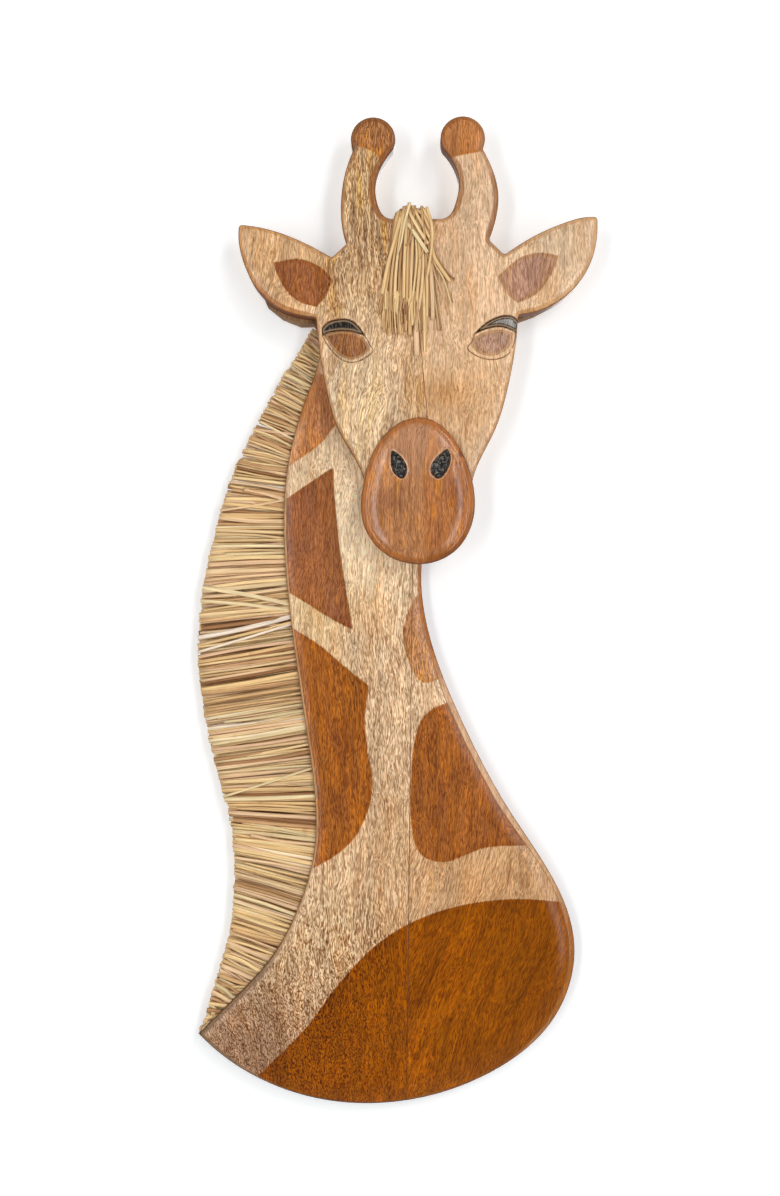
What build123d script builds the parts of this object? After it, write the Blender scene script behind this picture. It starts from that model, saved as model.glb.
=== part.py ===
"""Wall-hung carved giraffe: head and neck in flat relief, with a straw mane and forelock.

Boards lie flat on the wall: neck and chest first, the head on top of it, the muzzle on the head.
Frame in millimetres: +X to the viewer's right, +Z up, the front faces -Y, the wall is Y = 0.
The origin is the centre of the keyhole in the hanger plate, on the wall plane.
Outlines are lists of (X, Z) points, seen from the front.
"""

import os

from build123d import *

os.makedirs("parts", exist_ok=True)

# --- Driving dimensions -------------------------------------------------------------------------

NECK_THICK = 15.0
HEAD_THICK = 14.0
MUZZLE_THICK = 6.0
NECK_ROUND = 3.0
HEAD_ROUND = 2.5
MUZZLE_ROUND = 4.5
CORNER_ROUND = 2.0

HEAD_BACK = NECK_THICK
MUZZLE_BACK = NECK_THICK + HEAD_THICK
FRONT = MUZZLE_BACK + MUZZLE_THICK

# Neck and chest board
NECK_TOP = 41.0
NECK_TIP = (-115.0, -381.0)
NECK_TOP_LEFT = (-41.0, NECK_TOP)
NECK_TOP_RIGHT = (53.0, NECK_TOP)
MANE_EDGE = [
    NECK_TOP_LEFT,
    (-44.0, 20.0),
    (-51.0, 0.0),
    (-61.0, -36.0),
    (-64.0, -78.0),
    (-60.0, -130.0),
    (-52.0, -188.0),
    (-45.5, -235.0),
    (-45.5, -270.0),
    (-54.0, -302.0),
    (-70.0, -333.0),
    (-92.0, -358.0),
    NECK_TIP,
]
CHEST_EDGE = [
    NECK_TIP,
    (-83.0, -405.5),
    (-40.0, -420.5),
    (2.0, -422.0),
    (58.0, -405.5),
    (99.0, -371.0),
    (111.0, -328.0),
    (101.0, -293.0),
    (74.0, -250.0),
    (43.0, -192.0),
    (22.0, -134.0),
    (19.0, -100.0),
    (28.0, -60.0),
    (42.0, -12.0),
    NECK_TOP_RIGHT,
]
NECK_SEAM_LOW = (10.0, -422.0)
NECK_SEAM_HIGH = (15.0, NECK_TOP)

# Head board: jaw, ears, and two horns that end in balls
EAR_ROOT_LEFT = (-43.8, 47.6)
EAR_ROOT_RIGHT = (76.0, 49.2)
EAR_TIP_LEFT = (-89.6, 102.5)
EAR_TIP_RIGHT = (123.0, 107.0)
EAR_NOTCH_LEFT = (-34.5, 83.0)
EAR_NOTCH_RIGHT = (67.8, 84.7)
HORN_NOTCH_LEFT = (-25.4, 91.5)
HORN_NOTCH_RIGHT = (58.8, 93.5)
BALL_TOP_LEFT = (-10.0, 166.2)
BALL_TOP_RIGHT = (43.2, 166.8)
CROWN_LEFT = (1.2, 106.0)
CROWN_RIGHT = (30.5, 106.0)
JAW = [
    EAR_ROOT_LEFT,
    (-40.8, 20.0),
    (-36.5, -1.0),
    (-30.7, -19.0),
    (-16.0, -47.0),
    (-11.5, -74.0),
    (0.0, -89.0),
    (19.5, -95.0),
    (37.0, -87.0),
    (45.5, -72.0),
    (49.5, -47.0),
    (61.6, -20.6),
    (70.4, 8.0),
    (74.4, 30.0),
    EAR_ROOT_RIGHT,
]
EAR_RIGHT_LOW = [
    EAR_ROOT_RIGHT,
    (86.5, 50.8),
    (96.0, 54.6),
    (109.6, 65.2),
    (119.8, 82.0),
    (123.0, 98.0),
    EAR_TIP_RIGHT,
]
EAR_RIGHT_TOP = [EAR_TIP_RIGHT, (115.4, 107.0), (105.0, 104.3), (84.6, 95.4), EAR_NOTCH_RIGHT]
HORN_RIGHT_OUT = [HORN_NOTCH_RIGHT, (63.0, 107.0), (64.3, 120.0), (61.6, 133.2), (54.9, 147.5)]
HORN_RIGHT_IN = [(31.4, 147.5), (37.6, 139.0), (40.9, 128.0), (39.1, 116.1), (35.5, 108.5), CROWN_RIGHT]
HORN_LEFT_IN = [CROWN_LEFT, (-3.3, 107.6), (-7.3, 114.5), (-8.5, 125.6), (-5.5, 136.0), (1.7, 147.0)]
HORN_LEFT_OUT = [(-21.7, 147.0), (-26.6, 133.2), (-29.1, 116.0), (-28.6, 102.5), HORN_NOTCH_LEFT]
EAR_LEFT_TOP = [EAR_NOTCH_LEFT, (-52.0, 92.4), (-71.0, 99.5), EAR_TIP_LEFT]
EAR_LEFT_LOW = [
    EAR_TIP_LEFT,
    (-89.4, 90.0),
    (-84.9, 75.0),
    (-79.6, 65.2),
    (-71.5, 56.6),
    (-62.5, 51.2),
    (-52.5, 48.4),
    EAR_ROOT_LEFT,
]
HEAD_SEAM_LOW = (30.0, -94.0)
HEAD_SEAM_HIGH = (11.0, 106.0)

# Muzzle plate, with two teardrop nostrils
MUZZLE_OUTLINE = [
    (17.5, -12.2),
    (4.0, -16.2),
    (-8.0, -29.0),
    (-15.5, -50.0),
    (-16.3, -73.0),
    (-5.0, -91.2),
    (19.4, -98.8),
    (38.5, -91.0),
    (49.0, -73.0),
    (49.0, -51.0),
    (43.0, -33.5),
    (32.5, -19.0),
]
NOSTRIL_LEFT = [
    (1.0, -31.8),
    (5.2, -34.2),
    (8.6, -38.4),
    (10.1, -43.4),
    (7.6, -48.5),
    (2.6, -45.6),
    (0.6, -40.4),
]
NOSTRIL_RIGHT = [
    (33.6, -30.8),
    (35.8, -36.4),
    (34.4, -42.2),
    (28.0, -48.6),
    (23.9, -44.4),
    (25.2, -38.9),
    (29.6, -33.8),
]
NOSTRIL_DEPTH = 3.5

# Batten behind the ear roots and crown, in the plane of the neck board
BATTEN_EDGE_LOW = NECK_TOP + 0.2
BATTEN_TOP = 85.0
BATTEN_CORNER = 1.5
BATTEN_OUTLINE = [
    (-43.0, BATTEN_EDGE_LOW),
    (-46.0, 46.0),
    (-54.0, 45.8),
    (-65.0, 50.2),
    (-74.0, 57.4),
    (-76.0, 62.0),
    (-60.0, BATTEN_TOP - 5.0),
    (-32.0, BATTEN_TOP - 6.0),
    (-24.0, BATTEN_TOP),
    (58.0, BATTEN_TOP),
    (68.0, BATTEN_TOP - 6.0),
    (96.0, BATTEN_TOP - 4.0),
    (106.0, 66.0),
    (97.0, 57.0),
    (87.5, 52.0),
    (76.5, 48.0),
    (73.0, BATTEN_EDGE_LOW),
]

# Dowels and screws
DOWEL_RADIUS = 3.0
SEAM_DOWEL = 34.0
MUZZLE_DOWEL = 9.0
GLUE_GAP = 0.1
NECK_DOWEL_HEIGHTS = [22.0, -195.0, -275.0, -360.0]
HEAD_DOWEL_HEIGHTS = [80.0, 34.0, -8.0, -47.0]
MUZZLE_DOWELS = [(11.0, -24.0), (-3.0, -64.0), (37.0, -64.0)]
SCREW_SHANK = 1.9
SCREW_HEAD = 3.8
SCREW_LENGTH = 25.0
SCREW_TIP = 3.0
SCREW_POINT = 0.2
RECESS_LONG = 1.2
RECESS_WIDE = 0.35
RECESS_DEEP = 0.8
HOLE_SPARE = 2.0
MUZZLE_HOLE_SPARE = 0.4
HEAD_SCREWS = [(-30.0, 20.0), (-16.0, -26.0), (40.0, 6.0), (28.0, -34.0)]
BATTEN_SCREWS = [(-54.0, 64.0), (-16.0, 62.0), (46.0, 62.0), (86.0, 66.0)]

# Mane: clumps of straw, each with a tongue glued into a saw kerf in the neck board
CLUMPS = 24
CLUMP_THICK = 8.0
TONGUE_THICK = 4.6
TONGUE_SPARE = 2.5
KERF_WIDE = 5.0
KERF_DEEP = 12.0
KERF_LEVEL = 7.5
MANE_HIGH = 40.0
MANE_LOW = -366.0
KERF_OVERRUN = 8.0
CLUMP_GAP = 0.3
SHOULDER = 2 * CLUMP_GAP
TONGUE_OVERLAP = 3 * SHOULDER
MANE_TIPS = [
    (-46.6, 46.0),
    (-52.0, 34.5),
    (-64.0, 17.0),
    (-79.0, -11.0),
    (-94.0, -40.0),
    (-105.0, -76.0),
    (-112.0, -105.0),
    (-115.5, -135.0),
    (-116.0, -163.0),
    (-112.0, -192.0),
    (-103.5, -228.0),
    (-96.0, -257.0),
    (-94.5, -285.0),
    (-96.0, -315.0),
    (-102.0, -338.0),
    (-110.0, -358.0),
    (-116.0, -376.0),
]
# (height of a straw's root, how much higher its tip is)
STRAW_LIFTS = [
    (40.0, 3.8),
    (20.0, 7.0),
    (0.0, 8.0),
    (-30.0, 8.5),
    (-84.0, 0.0),
    (-130.0, -8.0),
    (-210.0, -9.0),
    (-235.0, -1.0),
    (-270.0, 9.0),
    (-302.0, 12.0),
    (-333.0, 10.0),
    (-358.0, 6.0),
    (-372.0, 2.0),
]

# Forelock: three layers of straw folded over the crown, stapled behind the head
LAYER_THICK = 1.6
LAYER_GAP = 0.2
LAYER_OVERLAP = 2.0
FOLD_SPRING = 4.0
TAIL_LOW = 88.0
TAIL_LEFT = 2.0
TAIL_RIGHT = 24.0
FORELOCK_UNDER = [
    (1.8, 105.0),
    (-4.5, 62.0),
    (-4.7, 40.0),
    (6.0, 36.5),
    (18.0, 27.0),
    (23.0, 37.5),
    (28.0, 42.0),
    (27.0, 70.0),
    (23.7, 105.0),
]
FORELOCK_FRONT = [
    (2.5, 105.0),
    (-3.0, 60.0),
    (-2.5, 52.0),
    (10.0, 50.5),
    (18.0, 56.0),
    (18.0, 105.0),
]
FORELOCK_CROSSING = [
    (8.0, 105.0),
    (15.0, 88.0),
    (23.0, 70.0),
    (35.0, 49.5),
    (37.0, 66.0),
    (25.5, 88.0),
    (24.0, 105.0),
]
STAPLE_WIRE = 0.6
STAPLE_WIDE = 9.0
STAPLE_LEG = 14.0
STAPLE_HOLE_SPARE = 1.0
STAPLES = [(6.0, 93.0), (19.5, 93.0)]

# Hanger: a keyhole plate let in flush with the back
PLATE_WIDE = 50.0
PLATE_HIGH = 22.0
PLATE_THICK = 1.5
PLATE_CENTRE = 3.0
PLATE_CORNER = 3.0
KEYHOLE_RADIUS = 4.75
KEY_SLOT_WIDE = 4.5
KEY_SLOT_HIGH = 8.0
POCKET_RADIUS = 6.0
POCKET_DEEP = 9.0
HANGER_SCREWS = [(-20.0, PLATE_CENTRE), (20.0, PLATE_CENTRE)]
HANGER_SHANK = 1.5
HANGER_HEAD = 2.9
HANGER_LENGTH = 12.0


# --- Helpers ------------------------------------------------------------------------------------


def board_plane(depth):
    """A sketch plane seen from the front, this far out from the wall."""
    return Plane.XZ.offset(depth)


def seam_plane(low, high):
    """The upright plane of a glue seam, facing +X."""
    rise = Vector(high[0] - low[0], 0, high[1] - low[1])
    return Plane(origin=(low[0], 0, low[1]), x_dir=rise, z_dir=(rise.Z, 0, -rise.X))


def seam_x(low, high, height):
    """Where a seam crosses this height."""
    return low[0] + (high[0] - low[0]) * (height - low[1]) / (high[1] - low[1])


def bars_across(places, radius, length):
    """Round bars along X, centred on the given points."""
    with BuildPart() as bars:
        with Locations(*places):
            Cylinder(radius, length, rotation=(0, 90, 0))
    return bars


def bars_through(places, radius, length):
    """Round bars along Y, centred on the given points."""
    with BuildPart() as bars:
        with Locations(*places):
            Cylinder(radius, length, rotation=(90, 0, 0))
    return bars


def screws(places, shank, head, length):
    """Countersunk screws driven in from the back, with a cross recess in each head."""
    shoulder = head - shank
    recess_long = RECESS_LONG * head
    recess_wide = RECESS_WIDE * shank
    with BuildPart() as one:
        with BuildSketch(Plane.XY):
            with BuildLine():
                Polyline(
                    (0, 0),
                    (head, 0),
                    (shank, -shoulder),
                    (shank, SCREW_TIP - length),
                    (SCREW_POINT, -length),
                    (0, -length),
                    close=True,
                )
            make_face()
        revolve(axis=Axis.Y)
        with BuildSketch(Plane.XZ):
            Rectangle(recess_long, recess_wide)
            Rectangle(recess_wide, recess_long)
        extrude(amount=RECESS_DEEP * shoulder, mode=Mode.SUBTRACT)
    with BuildPart() as group:
        with Locations(*[(x, 0, z) for x, z in places]):
            add(one.part)
    return group


def screw_holes(places, shank, head, length):
    """The holes that such screws need, a little larger than the screws."""
    with BuildPart() as holes:
        with BuildSketch(Plane.XY):
            with BuildLine():
                Polyline(
                    (0, GLUE_GAP),
                    (head + GLUE_GAP, GLUE_GAP),
                    (head + GLUE_GAP, 0),
                    (shank + GLUE_GAP, shank - head),
                    (shank + GLUE_GAP, -length - GLUE_GAP),
                    (0, -length - GLUE_GAP),
                    close=True,
                )
            make_face()
        revolve(axis=Axis.Y)
    with BuildPart() as group:
        with Locations(*[(x, 0, z) for x, z in places]):
            add(holes.part)
    return group


def finish(name, built):
    """Labels a sub-part and writes it."""
    built.part.label = name
    export_step(built.part, f"parts/{name}.step")


# --- Neck and chest board -----------------------------------------------------------------------

with BuildPart() as neck_board:
    with BuildSketch(Plane.XZ):
        with BuildLine():
            Spline(*MANE_EDGE)
            Spline(*CHEST_EDGE)
            Line(NECK_TOP_RIGHT, NECK_TOP_LEFT)
        make_face()
    extrude(amount=NECK_THICK)
    fillet(neck_board.faces().sort_by(Axis.Y)[0].edges(), radius=NECK_ROUND)

with BuildPart() as mane_kerf:
    with BuildSketch(board_plane(KERF_LEVEL - KERF_WIDE / 2)):
        with BuildLine():
            Spline(*[(x - NECK_ROUND, z) for x, z in MANE_EDGE])
            Line((NECK_TIP[0] - NECK_ROUND, NECK_TIP[1]), (NECK_TIP[0] + KERF_DEEP, NECK_TIP[1]))
            Spline(*[(x + KERF_DEEP, z) for x, z in MANE_EDGE])
            Line((NECK_TOP_LEFT[0] + KERF_DEEP, NECK_TOP), (NECK_TOP_LEFT[0] - NECK_ROUND, NECK_TOP))
        make_face()
        with Locations((NECK_TIP[0] / 2, (MANE_HIGH + MANE_LOW) / 2)):
            Rectangle(-2 * NECK_TIP[0], MANE_HIGH - MANE_LOW + 2 * KERF_OVERRUN, mode=Mode.INTERSECT)
    extrude(amount=KERF_WIDE)

with BuildPart() as hanger_pocket:
    with BuildSketch(Plane.XZ):
        with Locations((0, PLATE_CENTRE)):
            RectangleRounded(PLATE_WIDE + 2 * GLUE_GAP, PLATE_HIGH + 2 * GLUE_GAP, PLATE_CORNER)
    extrude(amount=PLATE_THICK)
    with BuildSketch(Plane.XZ):
        with Locations((0, KEY_SLOT_HIGH / 2)):
            SlotCenterToCenter(KEY_SLOT_HIGH, 2 * POCKET_RADIUS, rotation=90)
    extrude(amount=POCKET_DEEP)

neck_dowel_centres = [
    (seam_x(NECK_SEAM_LOW, NECK_SEAM_HIGH, height), -NECK_THICK / 2, height)
    for height in NECK_DOWEL_HEIGHTS
]
neck_dowels = bars_across(neck_dowel_centres, DOWEL_RADIUS, SEAM_DOWEL)
neck_dowel_holes = bars_across(neck_dowel_centres, DOWEL_RADIUS + GLUE_GAP, SEAM_DOWEL + HOLE_SPARE)
head_screws = screws(HEAD_SCREWS, SCREW_SHANK, SCREW_HEAD, SCREW_LENGTH)
head_screw_holes = screw_holes(HEAD_SCREWS, SCREW_SHANK, SCREW_HEAD, SCREW_LENGTH)
hanger_screws = screws(HANGER_SCREWS, HANGER_SHANK, HANGER_HEAD, HANGER_LENGTH)
hanger_screw_holes = screw_holes(HANGER_SCREWS, HANGER_SHANK, HANGER_HEAD, HANGER_LENGTH)
neck_seam = seam_plane(NECK_SEAM_LOW, NECK_SEAM_HIGH)

with BuildPart() as neck_plank_left:
    add(neck_board.part)
    split(bisect_by=neck_seam, keep=Keep.BOTTOM)
    add(mane_kerf.part, mode=Mode.SUBTRACT)
    add(hanger_pocket.part, mode=Mode.SUBTRACT)
    add(neck_dowel_holes.part, mode=Mode.SUBTRACT)
    add(head_screw_holes.part, mode=Mode.SUBTRACT)
    add(hanger_screw_holes.part, mode=Mode.SUBTRACT)

with BuildPart() as neck_plank_right:
    add(neck_board.part)
    split(bisect_by=neck_seam, keep=Keep.TOP)
    add(hanger_pocket.part, mode=Mode.SUBTRACT)
    add(neck_dowel_holes.part, mode=Mode.SUBTRACT)
    add(head_screw_holes.part, mode=Mode.SUBTRACT)
    add(hanger_screw_holes.part, mode=Mode.SUBTRACT)

finish("neck_plank_left", neck_plank_left)
finish("neck_plank_right", neck_plank_right)
finish("neck_seam_dowels", neck_dowels)

# --- Head board, with ears and horns ------------------------------------------------------------

with BuildPart() as head_board:
    with BuildSketch(board_plane(HEAD_BACK)) as head_outline:
        with BuildLine():
            Spline(*JAW)
            Spline(*EAR_RIGHT_LOW)
            Spline(*EAR_RIGHT_TOP)
            Line(EAR_NOTCH_RIGHT, HORN_NOTCH_RIGHT)
            Spline(*HORN_RIGHT_OUT)
            ThreePointArc(HORN_RIGHT_OUT[-1], BALL_TOP_RIGHT, HORN_RIGHT_IN[0])
            Spline(*HORN_RIGHT_IN)
            Line(CROWN_RIGHT, CROWN_LEFT)
            Spline(*HORN_LEFT_IN)
            ThreePointArc(HORN_LEFT_IN[-1], BALL_TOP_LEFT, HORN_LEFT_OUT[0])
            Spline(*HORN_LEFT_OUT)
            Line(HORN_NOTCH_LEFT, EAR_NOTCH_LEFT)
            Spline(*EAR_LEFT_TOP)
            Spline(*EAR_LEFT_LOW)
        make_face()
        fillet(head_outline.vertices(), radius=CORNER_ROUND)
    extrude(amount=HEAD_THICK)
    fillet(head_board.faces().sort_by(Axis.Y)[0].edges(), radius=HEAD_ROUND)

head_middle = HEAD_BACK + HEAD_THICK / 2
head_dowel_centres = [
    (seam_x(HEAD_SEAM_LOW, HEAD_SEAM_HIGH, height), -head_middle, height)
    for height in HEAD_DOWEL_HEIGHTS
]
head_dowels = bars_across(head_dowel_centres, DOWEL_RADIUS, SEAM_DOWEL)
head_dowel_holes = bars_across(head_dowel_centres, DOWEL_RADIUS + GLUE_GAP, SEAM_DOWEL + HOLE_SPARE)
muzzle_dowel_level = MUZZLE_BACK - MUZZLE_DOWEL / 2 + MUZZLE_THICK / 2
muzzle_dowel_centres = [(x, -muzzle_dowel_level, z) for x, z in MUZZLE_DOWELS]
muzzle_dowels = bars_through(muzzle_dowel_centres, DOWEL_RADIUS, MUZZLE_DOWEL)
muzzle_hole = MUZZLE_DOWEL + MUZZLE_HOLE_SPARE
muzzle_dowel_holes = bars_through(muzzle_dowel_centres, DOWEL_RADIUS + GLUE_GAP, muzzle_hole)
batten_screws = screws(BATTEN_SCREWS, SCREW_SHANK, SCREW_HEAD, SCREW_LENGTH)
batten_screw_holes = screw_holes(BATTEN_SCREWS, SCREW_SHANK, SCREW_HEAD, SCREW_LENGTH)
head_seam = seam_plane(HEAD_SEAM_LOW, HEAD_SEAM_HIGH)


def staple_group(wire, leg):
    """U staples of round wire, driven in from behind the forelock's tails."""
    crown_level = HEAD_BACK - 3 * (LAYER_THICK + LAYER_GAP) - wire
    with BuildPart() as one:
        with Locations((0, -crown_level, 0)):
            Cylinder(wire, STAPLE_WIDE + 2 * wire, rotation=(0, 90, 0))
        with Locations(
            (-STAPLE_WIDE / 2, -crown_level - leg / 2, 0),
            (STAPLE_WIDE / 2, -crown_level - leg / 2, 0),
        ):
            Cylinder(wire, leg, rotation=(90, 0, 0))
    with BuildPart() as group:
        with Locations(*[(x, 0, z) for x, z in STAPLES]):
            add(one.part)
    return group


forelock_staples = staple_group(STAPLE_WIRE, STAPLE_LEG)
staple_holes = staple_group(STAPLE_WIRE + GLUE_GAP, STAPLE_LEG + STAPLE_HOLE_SPARE)


def head_plank(side):
    """One half of the head board, drilled for its dowels, screws and staples."""
    with BuildPart() as plank:
        add(head_board.part)
        split(bisect_by=head_seam, keep=side)
        add(head_dowel_holes.part, mode=Mode.SUBTRACT)
        add(muzzle_dowel_holes.part, mode=Mode.SUBTRACT)
        add(head_screw_holes.part, mode=Mode.SUBTRACT)
        add(batten_screw_holes.part, mode=Mode.SUBTRACT)
        add(staple_holes.part, mode=Mode.SUBTRACT)
    return plank


finish("head_plank_left", head_plank(Keep.BOTTOM))
finish("head_plank_right", head_plank(Keep.TOP))
finish("head_seam_dowels", head_dowels)
finish("head_screws", head_screws)

with BuildPart() as ear_batten:
    with BuildSketch(Plane.XZ):
        with BuildLine():
            Polyline(*BATTEN_OUTLINE, close=True)
        make_face()
    extrude(amount=NECK_THICK)
    fillet(ear_batten.edges().filter_by(Axis.Y), radius=BATTEN_CORNER)
    add(batten_screw_holes.part, mode=Mode.SUBTRACT)

finish("ear_batten", ear_batten)
finish("batten_screws", batten_screws)

# --- Muzzle plate -------------------------------------------------------------------------------

with BuildPart() as muzzle_plate:
    with BuildSketch(board_plane(MUZZLE_BACK)):
        with BuildLine():
            Spline(*MUZZLE_OUTLINE, periodic=True)
        make_face()
    extrude(amount=MUZZLE_THICK)
    fillet(muzzle_plate.faces().sort_by(Axis.Y)[0].edges(), radius=MUZZLE_ROUND)
    with BuildSketch(board_plane(FRONT)):
        for nostril in (NOSTRIL_LEFT, NOSTRIL_RIGHT):
            with BuildLine():
                Spline(*nostril, nostril[0])
            make_face()
    extrude(amount=-NOSTRIL_DEPTH, mode=Mode.SUBTRACT)
    add(muzzle_dowel_holes.part, mode=Mode.SUBTRACT)

finish("muzzle_plate", muzzle_plate)
finish("muzzle_dowels", muzzle_dowels)

# --- Mane ---------------------------------------------------------------------------------------

mane_edge = Spline(*MANE_EDGE)
mane_tips = Spline(*MANE_TIPS)


def at_height(curve, height):
    """The point where a curve that only runs downwards crosses this height."""
    high, low = 0.0, 1.0
    while low - high > 1e-6:
        middle = (high + low) / 2
        if (curve @ middle).Y > height:
            high = middle
        else:
            low = middle
    return curve @ high


def straw_lift(root):
    """How much higher than its root a straw's tip is, between the stations of STRAW_LIFTS."""
    for (high, high_lift), (low, low_lift) in zip(STRAW_LIFTS, STRAW_LIFTS[1:]):
        if root >= low:
            return low_lift + (high_lift - low_lift) * (root - low) / (high - low)
    return STRAW_LIFTS[-1][1]


def straw_line(root):
    """The ends of the straw rooted at this height: on the neck's edge and the mane's outline."""
    return at_height(mane_edge, root), at_height(mane_tips, root + straw_lift(root))


def straw_direction(root, tip):
    """The unit vector along a straw, from root to tip."""
    return (tip - root).normalized()


def mane_clump(high_root, low_root):
    """One clump: a wedge outside the neck's edge, and a tongue that reaches into the kerf."""
    high_in, high_out = straw_line(high_root - CLUMP_GAP / 2)
    low_in, low_out = straw_line(low_root + CLUMP_GAP / 2)
    high_way = straw_direction(high_in, high_out)
    low_way = straw_direction(low_in, low_out)
    tongue = KERF_DEEP * min(abs(high_way.X), abs(low_way.X)) - TONGUE_SPARE
    with BuildPart() as clump:
        with BuildSketch(board_plane(KERF_LEVEL - CLUMP_THICK / 2)):
            with BuildLine():
                Polyline(
                    high_in + high_way * SHOULDER,
                    high_out,
                    low_out,
                    low_in + low_way * SHOULDER,
                    close=True,
                )
            make_face()
        extrude(amount=CLUMP_THICK)
        with BuildSketch(board_plane(KERF_LEVEL - TONGUE_THICK / 2)):
            with BuildLine():
                Polyline(
                    high_in + high_way * TONGUE_OVERLAP,
                    high_in - high_way * tongue,
                    low_in - low_way * tongue,
                    low_in + low_way * TONGUE_OVERLAP,
                    close=True,
                )
            make_face()
        extrude(amount=TONGUE_THICK)
    return clump


clump_pitch = (MANE_HIGH - MANE_LOW) / CLUMPS
for index in range(CLUMPS):
    root_high = MANE_HIGH - index * clump_pitch
    finish(f"mane_clump_{index + 1:02d}", mane_clump(root_high, root_high - clump_pitch))

# --- Forelock -----------------------------------------------------------------------------------


def forelock_layer(outline, level):
    """A layer of straw that hangs in front of the head, folds over the crown and ends behind it.

    Straw is too stiff to fold flat, so the fold springs up above the crown.
    """
    offset = level * (LAYER_THICK + LAYER_GAP) + LAYER_GAP
    front = MUZZLE_BACK + offset
    back = HEAD_BACK - offset
    crown = CROWN_LEFT[1] + offset + FOLD_SPRING
    fold_left = max(TAIL_LEFT, outline[0][0])
    fold_right = min(TAIL_RIGHT, outline[-1][0])
    with BuildPart() as layer:
        with BuildSketch(board_plane(front)):
            with BuildLine():
                Polyline(*outline, close=True)
            make_face()
        extrude(amount=LAYER_THICK)
        with BuildSketch(Plane.YZ.offset(fold_left)):
            with BuildLine():
                Polyline(
                    (-front - LAYER_THICK, outline[0][1] - LAYER_OVERLAP),
                    (-front - LAYER_THICK, crown + LAYER_THICK),
                    (-back + LAYER_THICK, crown + LAYER_THICK),
                    (-back + LAYER_THICK, TAIL_LOW),
                    (-back, TAIL_LOW),
                    (-back, crown),
                    (-front, crown),
                    (-front, outline[0][1] - LAYER_OVERLAP),
                    close=True,
                )
            make_face()
        extrude(amount=fold_right - fold_left)
        add(staple_holes.part, mode=Mode.SUBTRACT)
    return layer


finish("forelock_under_layer", forelock_layer(FORELOCK_UNDER, 0))
finish("forelock_front_layer", forelock_layer(FORELOCK_FRONT, 1))
finish("forelock_crossing_strands", forelock_layer(FORELOCK_CROSSING, 2))
finish("forelock_staples", forelock_staples)

# --- Hanger -------------------------------------------------------------------------------------

with BuildPart() as hanger_plate:
    with BuildSketch(Plane.XZ):
        with Locations((0, PLATE_CENTRE)):
            RectangleRounded(PLATE_WIDE, PLATE_HIGH, PLATE_CORNER)
        Circle(KEYHOLE_RADIUS, mode=Mode.SUBTRACT)
        with Locations((0, KEY_SLOT_HIGH / 2)):
            SlotCenterToCenter(KEY_SLOT_HIGH, KEY_SLOT_WIDE, rotation=90, mode=Mode.SUBTRACT)
    extrude(amount=PLATE_THICK)
    add(hanger_screw_holes.part, mode=Mode.SUBTRACT)

finish("hanger_plate", hanger_plate)
finish("hanger_screws", hanger_screws)
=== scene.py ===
"""Looks for the carved giraffe plaque: carved and stained boards, straw mane and forelock.

Lengths in the tables below are millimetres in the row frame (X, Z) as seen from the front,
and MM turns them into Blender's metres. Boards keep their CAD shape: each is copied, its front
face gets a finer mesh, and stain, paint and carving are worked out on that mesh.
"""

import math
import random

import bmesh
import bpy
import numpy as np
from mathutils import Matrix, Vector
from mathutils.geometry import delaunay_2d_cdt
from mathutils.kdtree import KDTree


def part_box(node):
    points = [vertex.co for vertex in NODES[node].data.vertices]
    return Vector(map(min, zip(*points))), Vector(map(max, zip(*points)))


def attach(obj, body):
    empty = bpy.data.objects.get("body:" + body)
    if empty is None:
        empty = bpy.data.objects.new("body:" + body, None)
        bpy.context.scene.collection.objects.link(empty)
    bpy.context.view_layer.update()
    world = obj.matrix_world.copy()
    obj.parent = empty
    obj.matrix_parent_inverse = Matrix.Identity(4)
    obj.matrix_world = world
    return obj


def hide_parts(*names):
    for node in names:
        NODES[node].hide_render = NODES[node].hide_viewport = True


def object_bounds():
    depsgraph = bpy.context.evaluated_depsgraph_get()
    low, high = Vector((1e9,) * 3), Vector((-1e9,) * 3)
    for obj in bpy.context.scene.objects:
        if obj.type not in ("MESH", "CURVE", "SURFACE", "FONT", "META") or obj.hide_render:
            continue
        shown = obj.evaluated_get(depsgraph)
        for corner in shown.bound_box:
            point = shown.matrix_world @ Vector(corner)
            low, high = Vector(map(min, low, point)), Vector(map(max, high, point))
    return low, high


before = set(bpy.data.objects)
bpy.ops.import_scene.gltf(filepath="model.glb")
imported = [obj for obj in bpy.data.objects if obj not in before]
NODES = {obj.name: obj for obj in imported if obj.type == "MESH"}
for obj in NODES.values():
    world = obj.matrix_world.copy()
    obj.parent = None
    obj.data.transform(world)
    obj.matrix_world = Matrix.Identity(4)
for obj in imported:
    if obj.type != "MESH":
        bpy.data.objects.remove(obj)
cad_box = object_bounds()

MM = 0.001


def srgb(red, green, blue):
    """A colour given as 0 to 255 sRGB values, as linear floats."""
    shares = [value / 255 for value in (red, green, blue)]
    return tuple(s / 12.92 if s <= 0.04045 else ((s + 0.055) / 1.055) ** 2.4 for s in shares)


# --- Outlines of stain, paint and carving ---------------------------------------------------------
# An outline is closed. A bare point is a corner, and a list is a smooth run that starts in a
# corner and ends in the next one. Stain patches come with their colour; the right ear's and
# right lid's colours also hold painted sheen.

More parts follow.
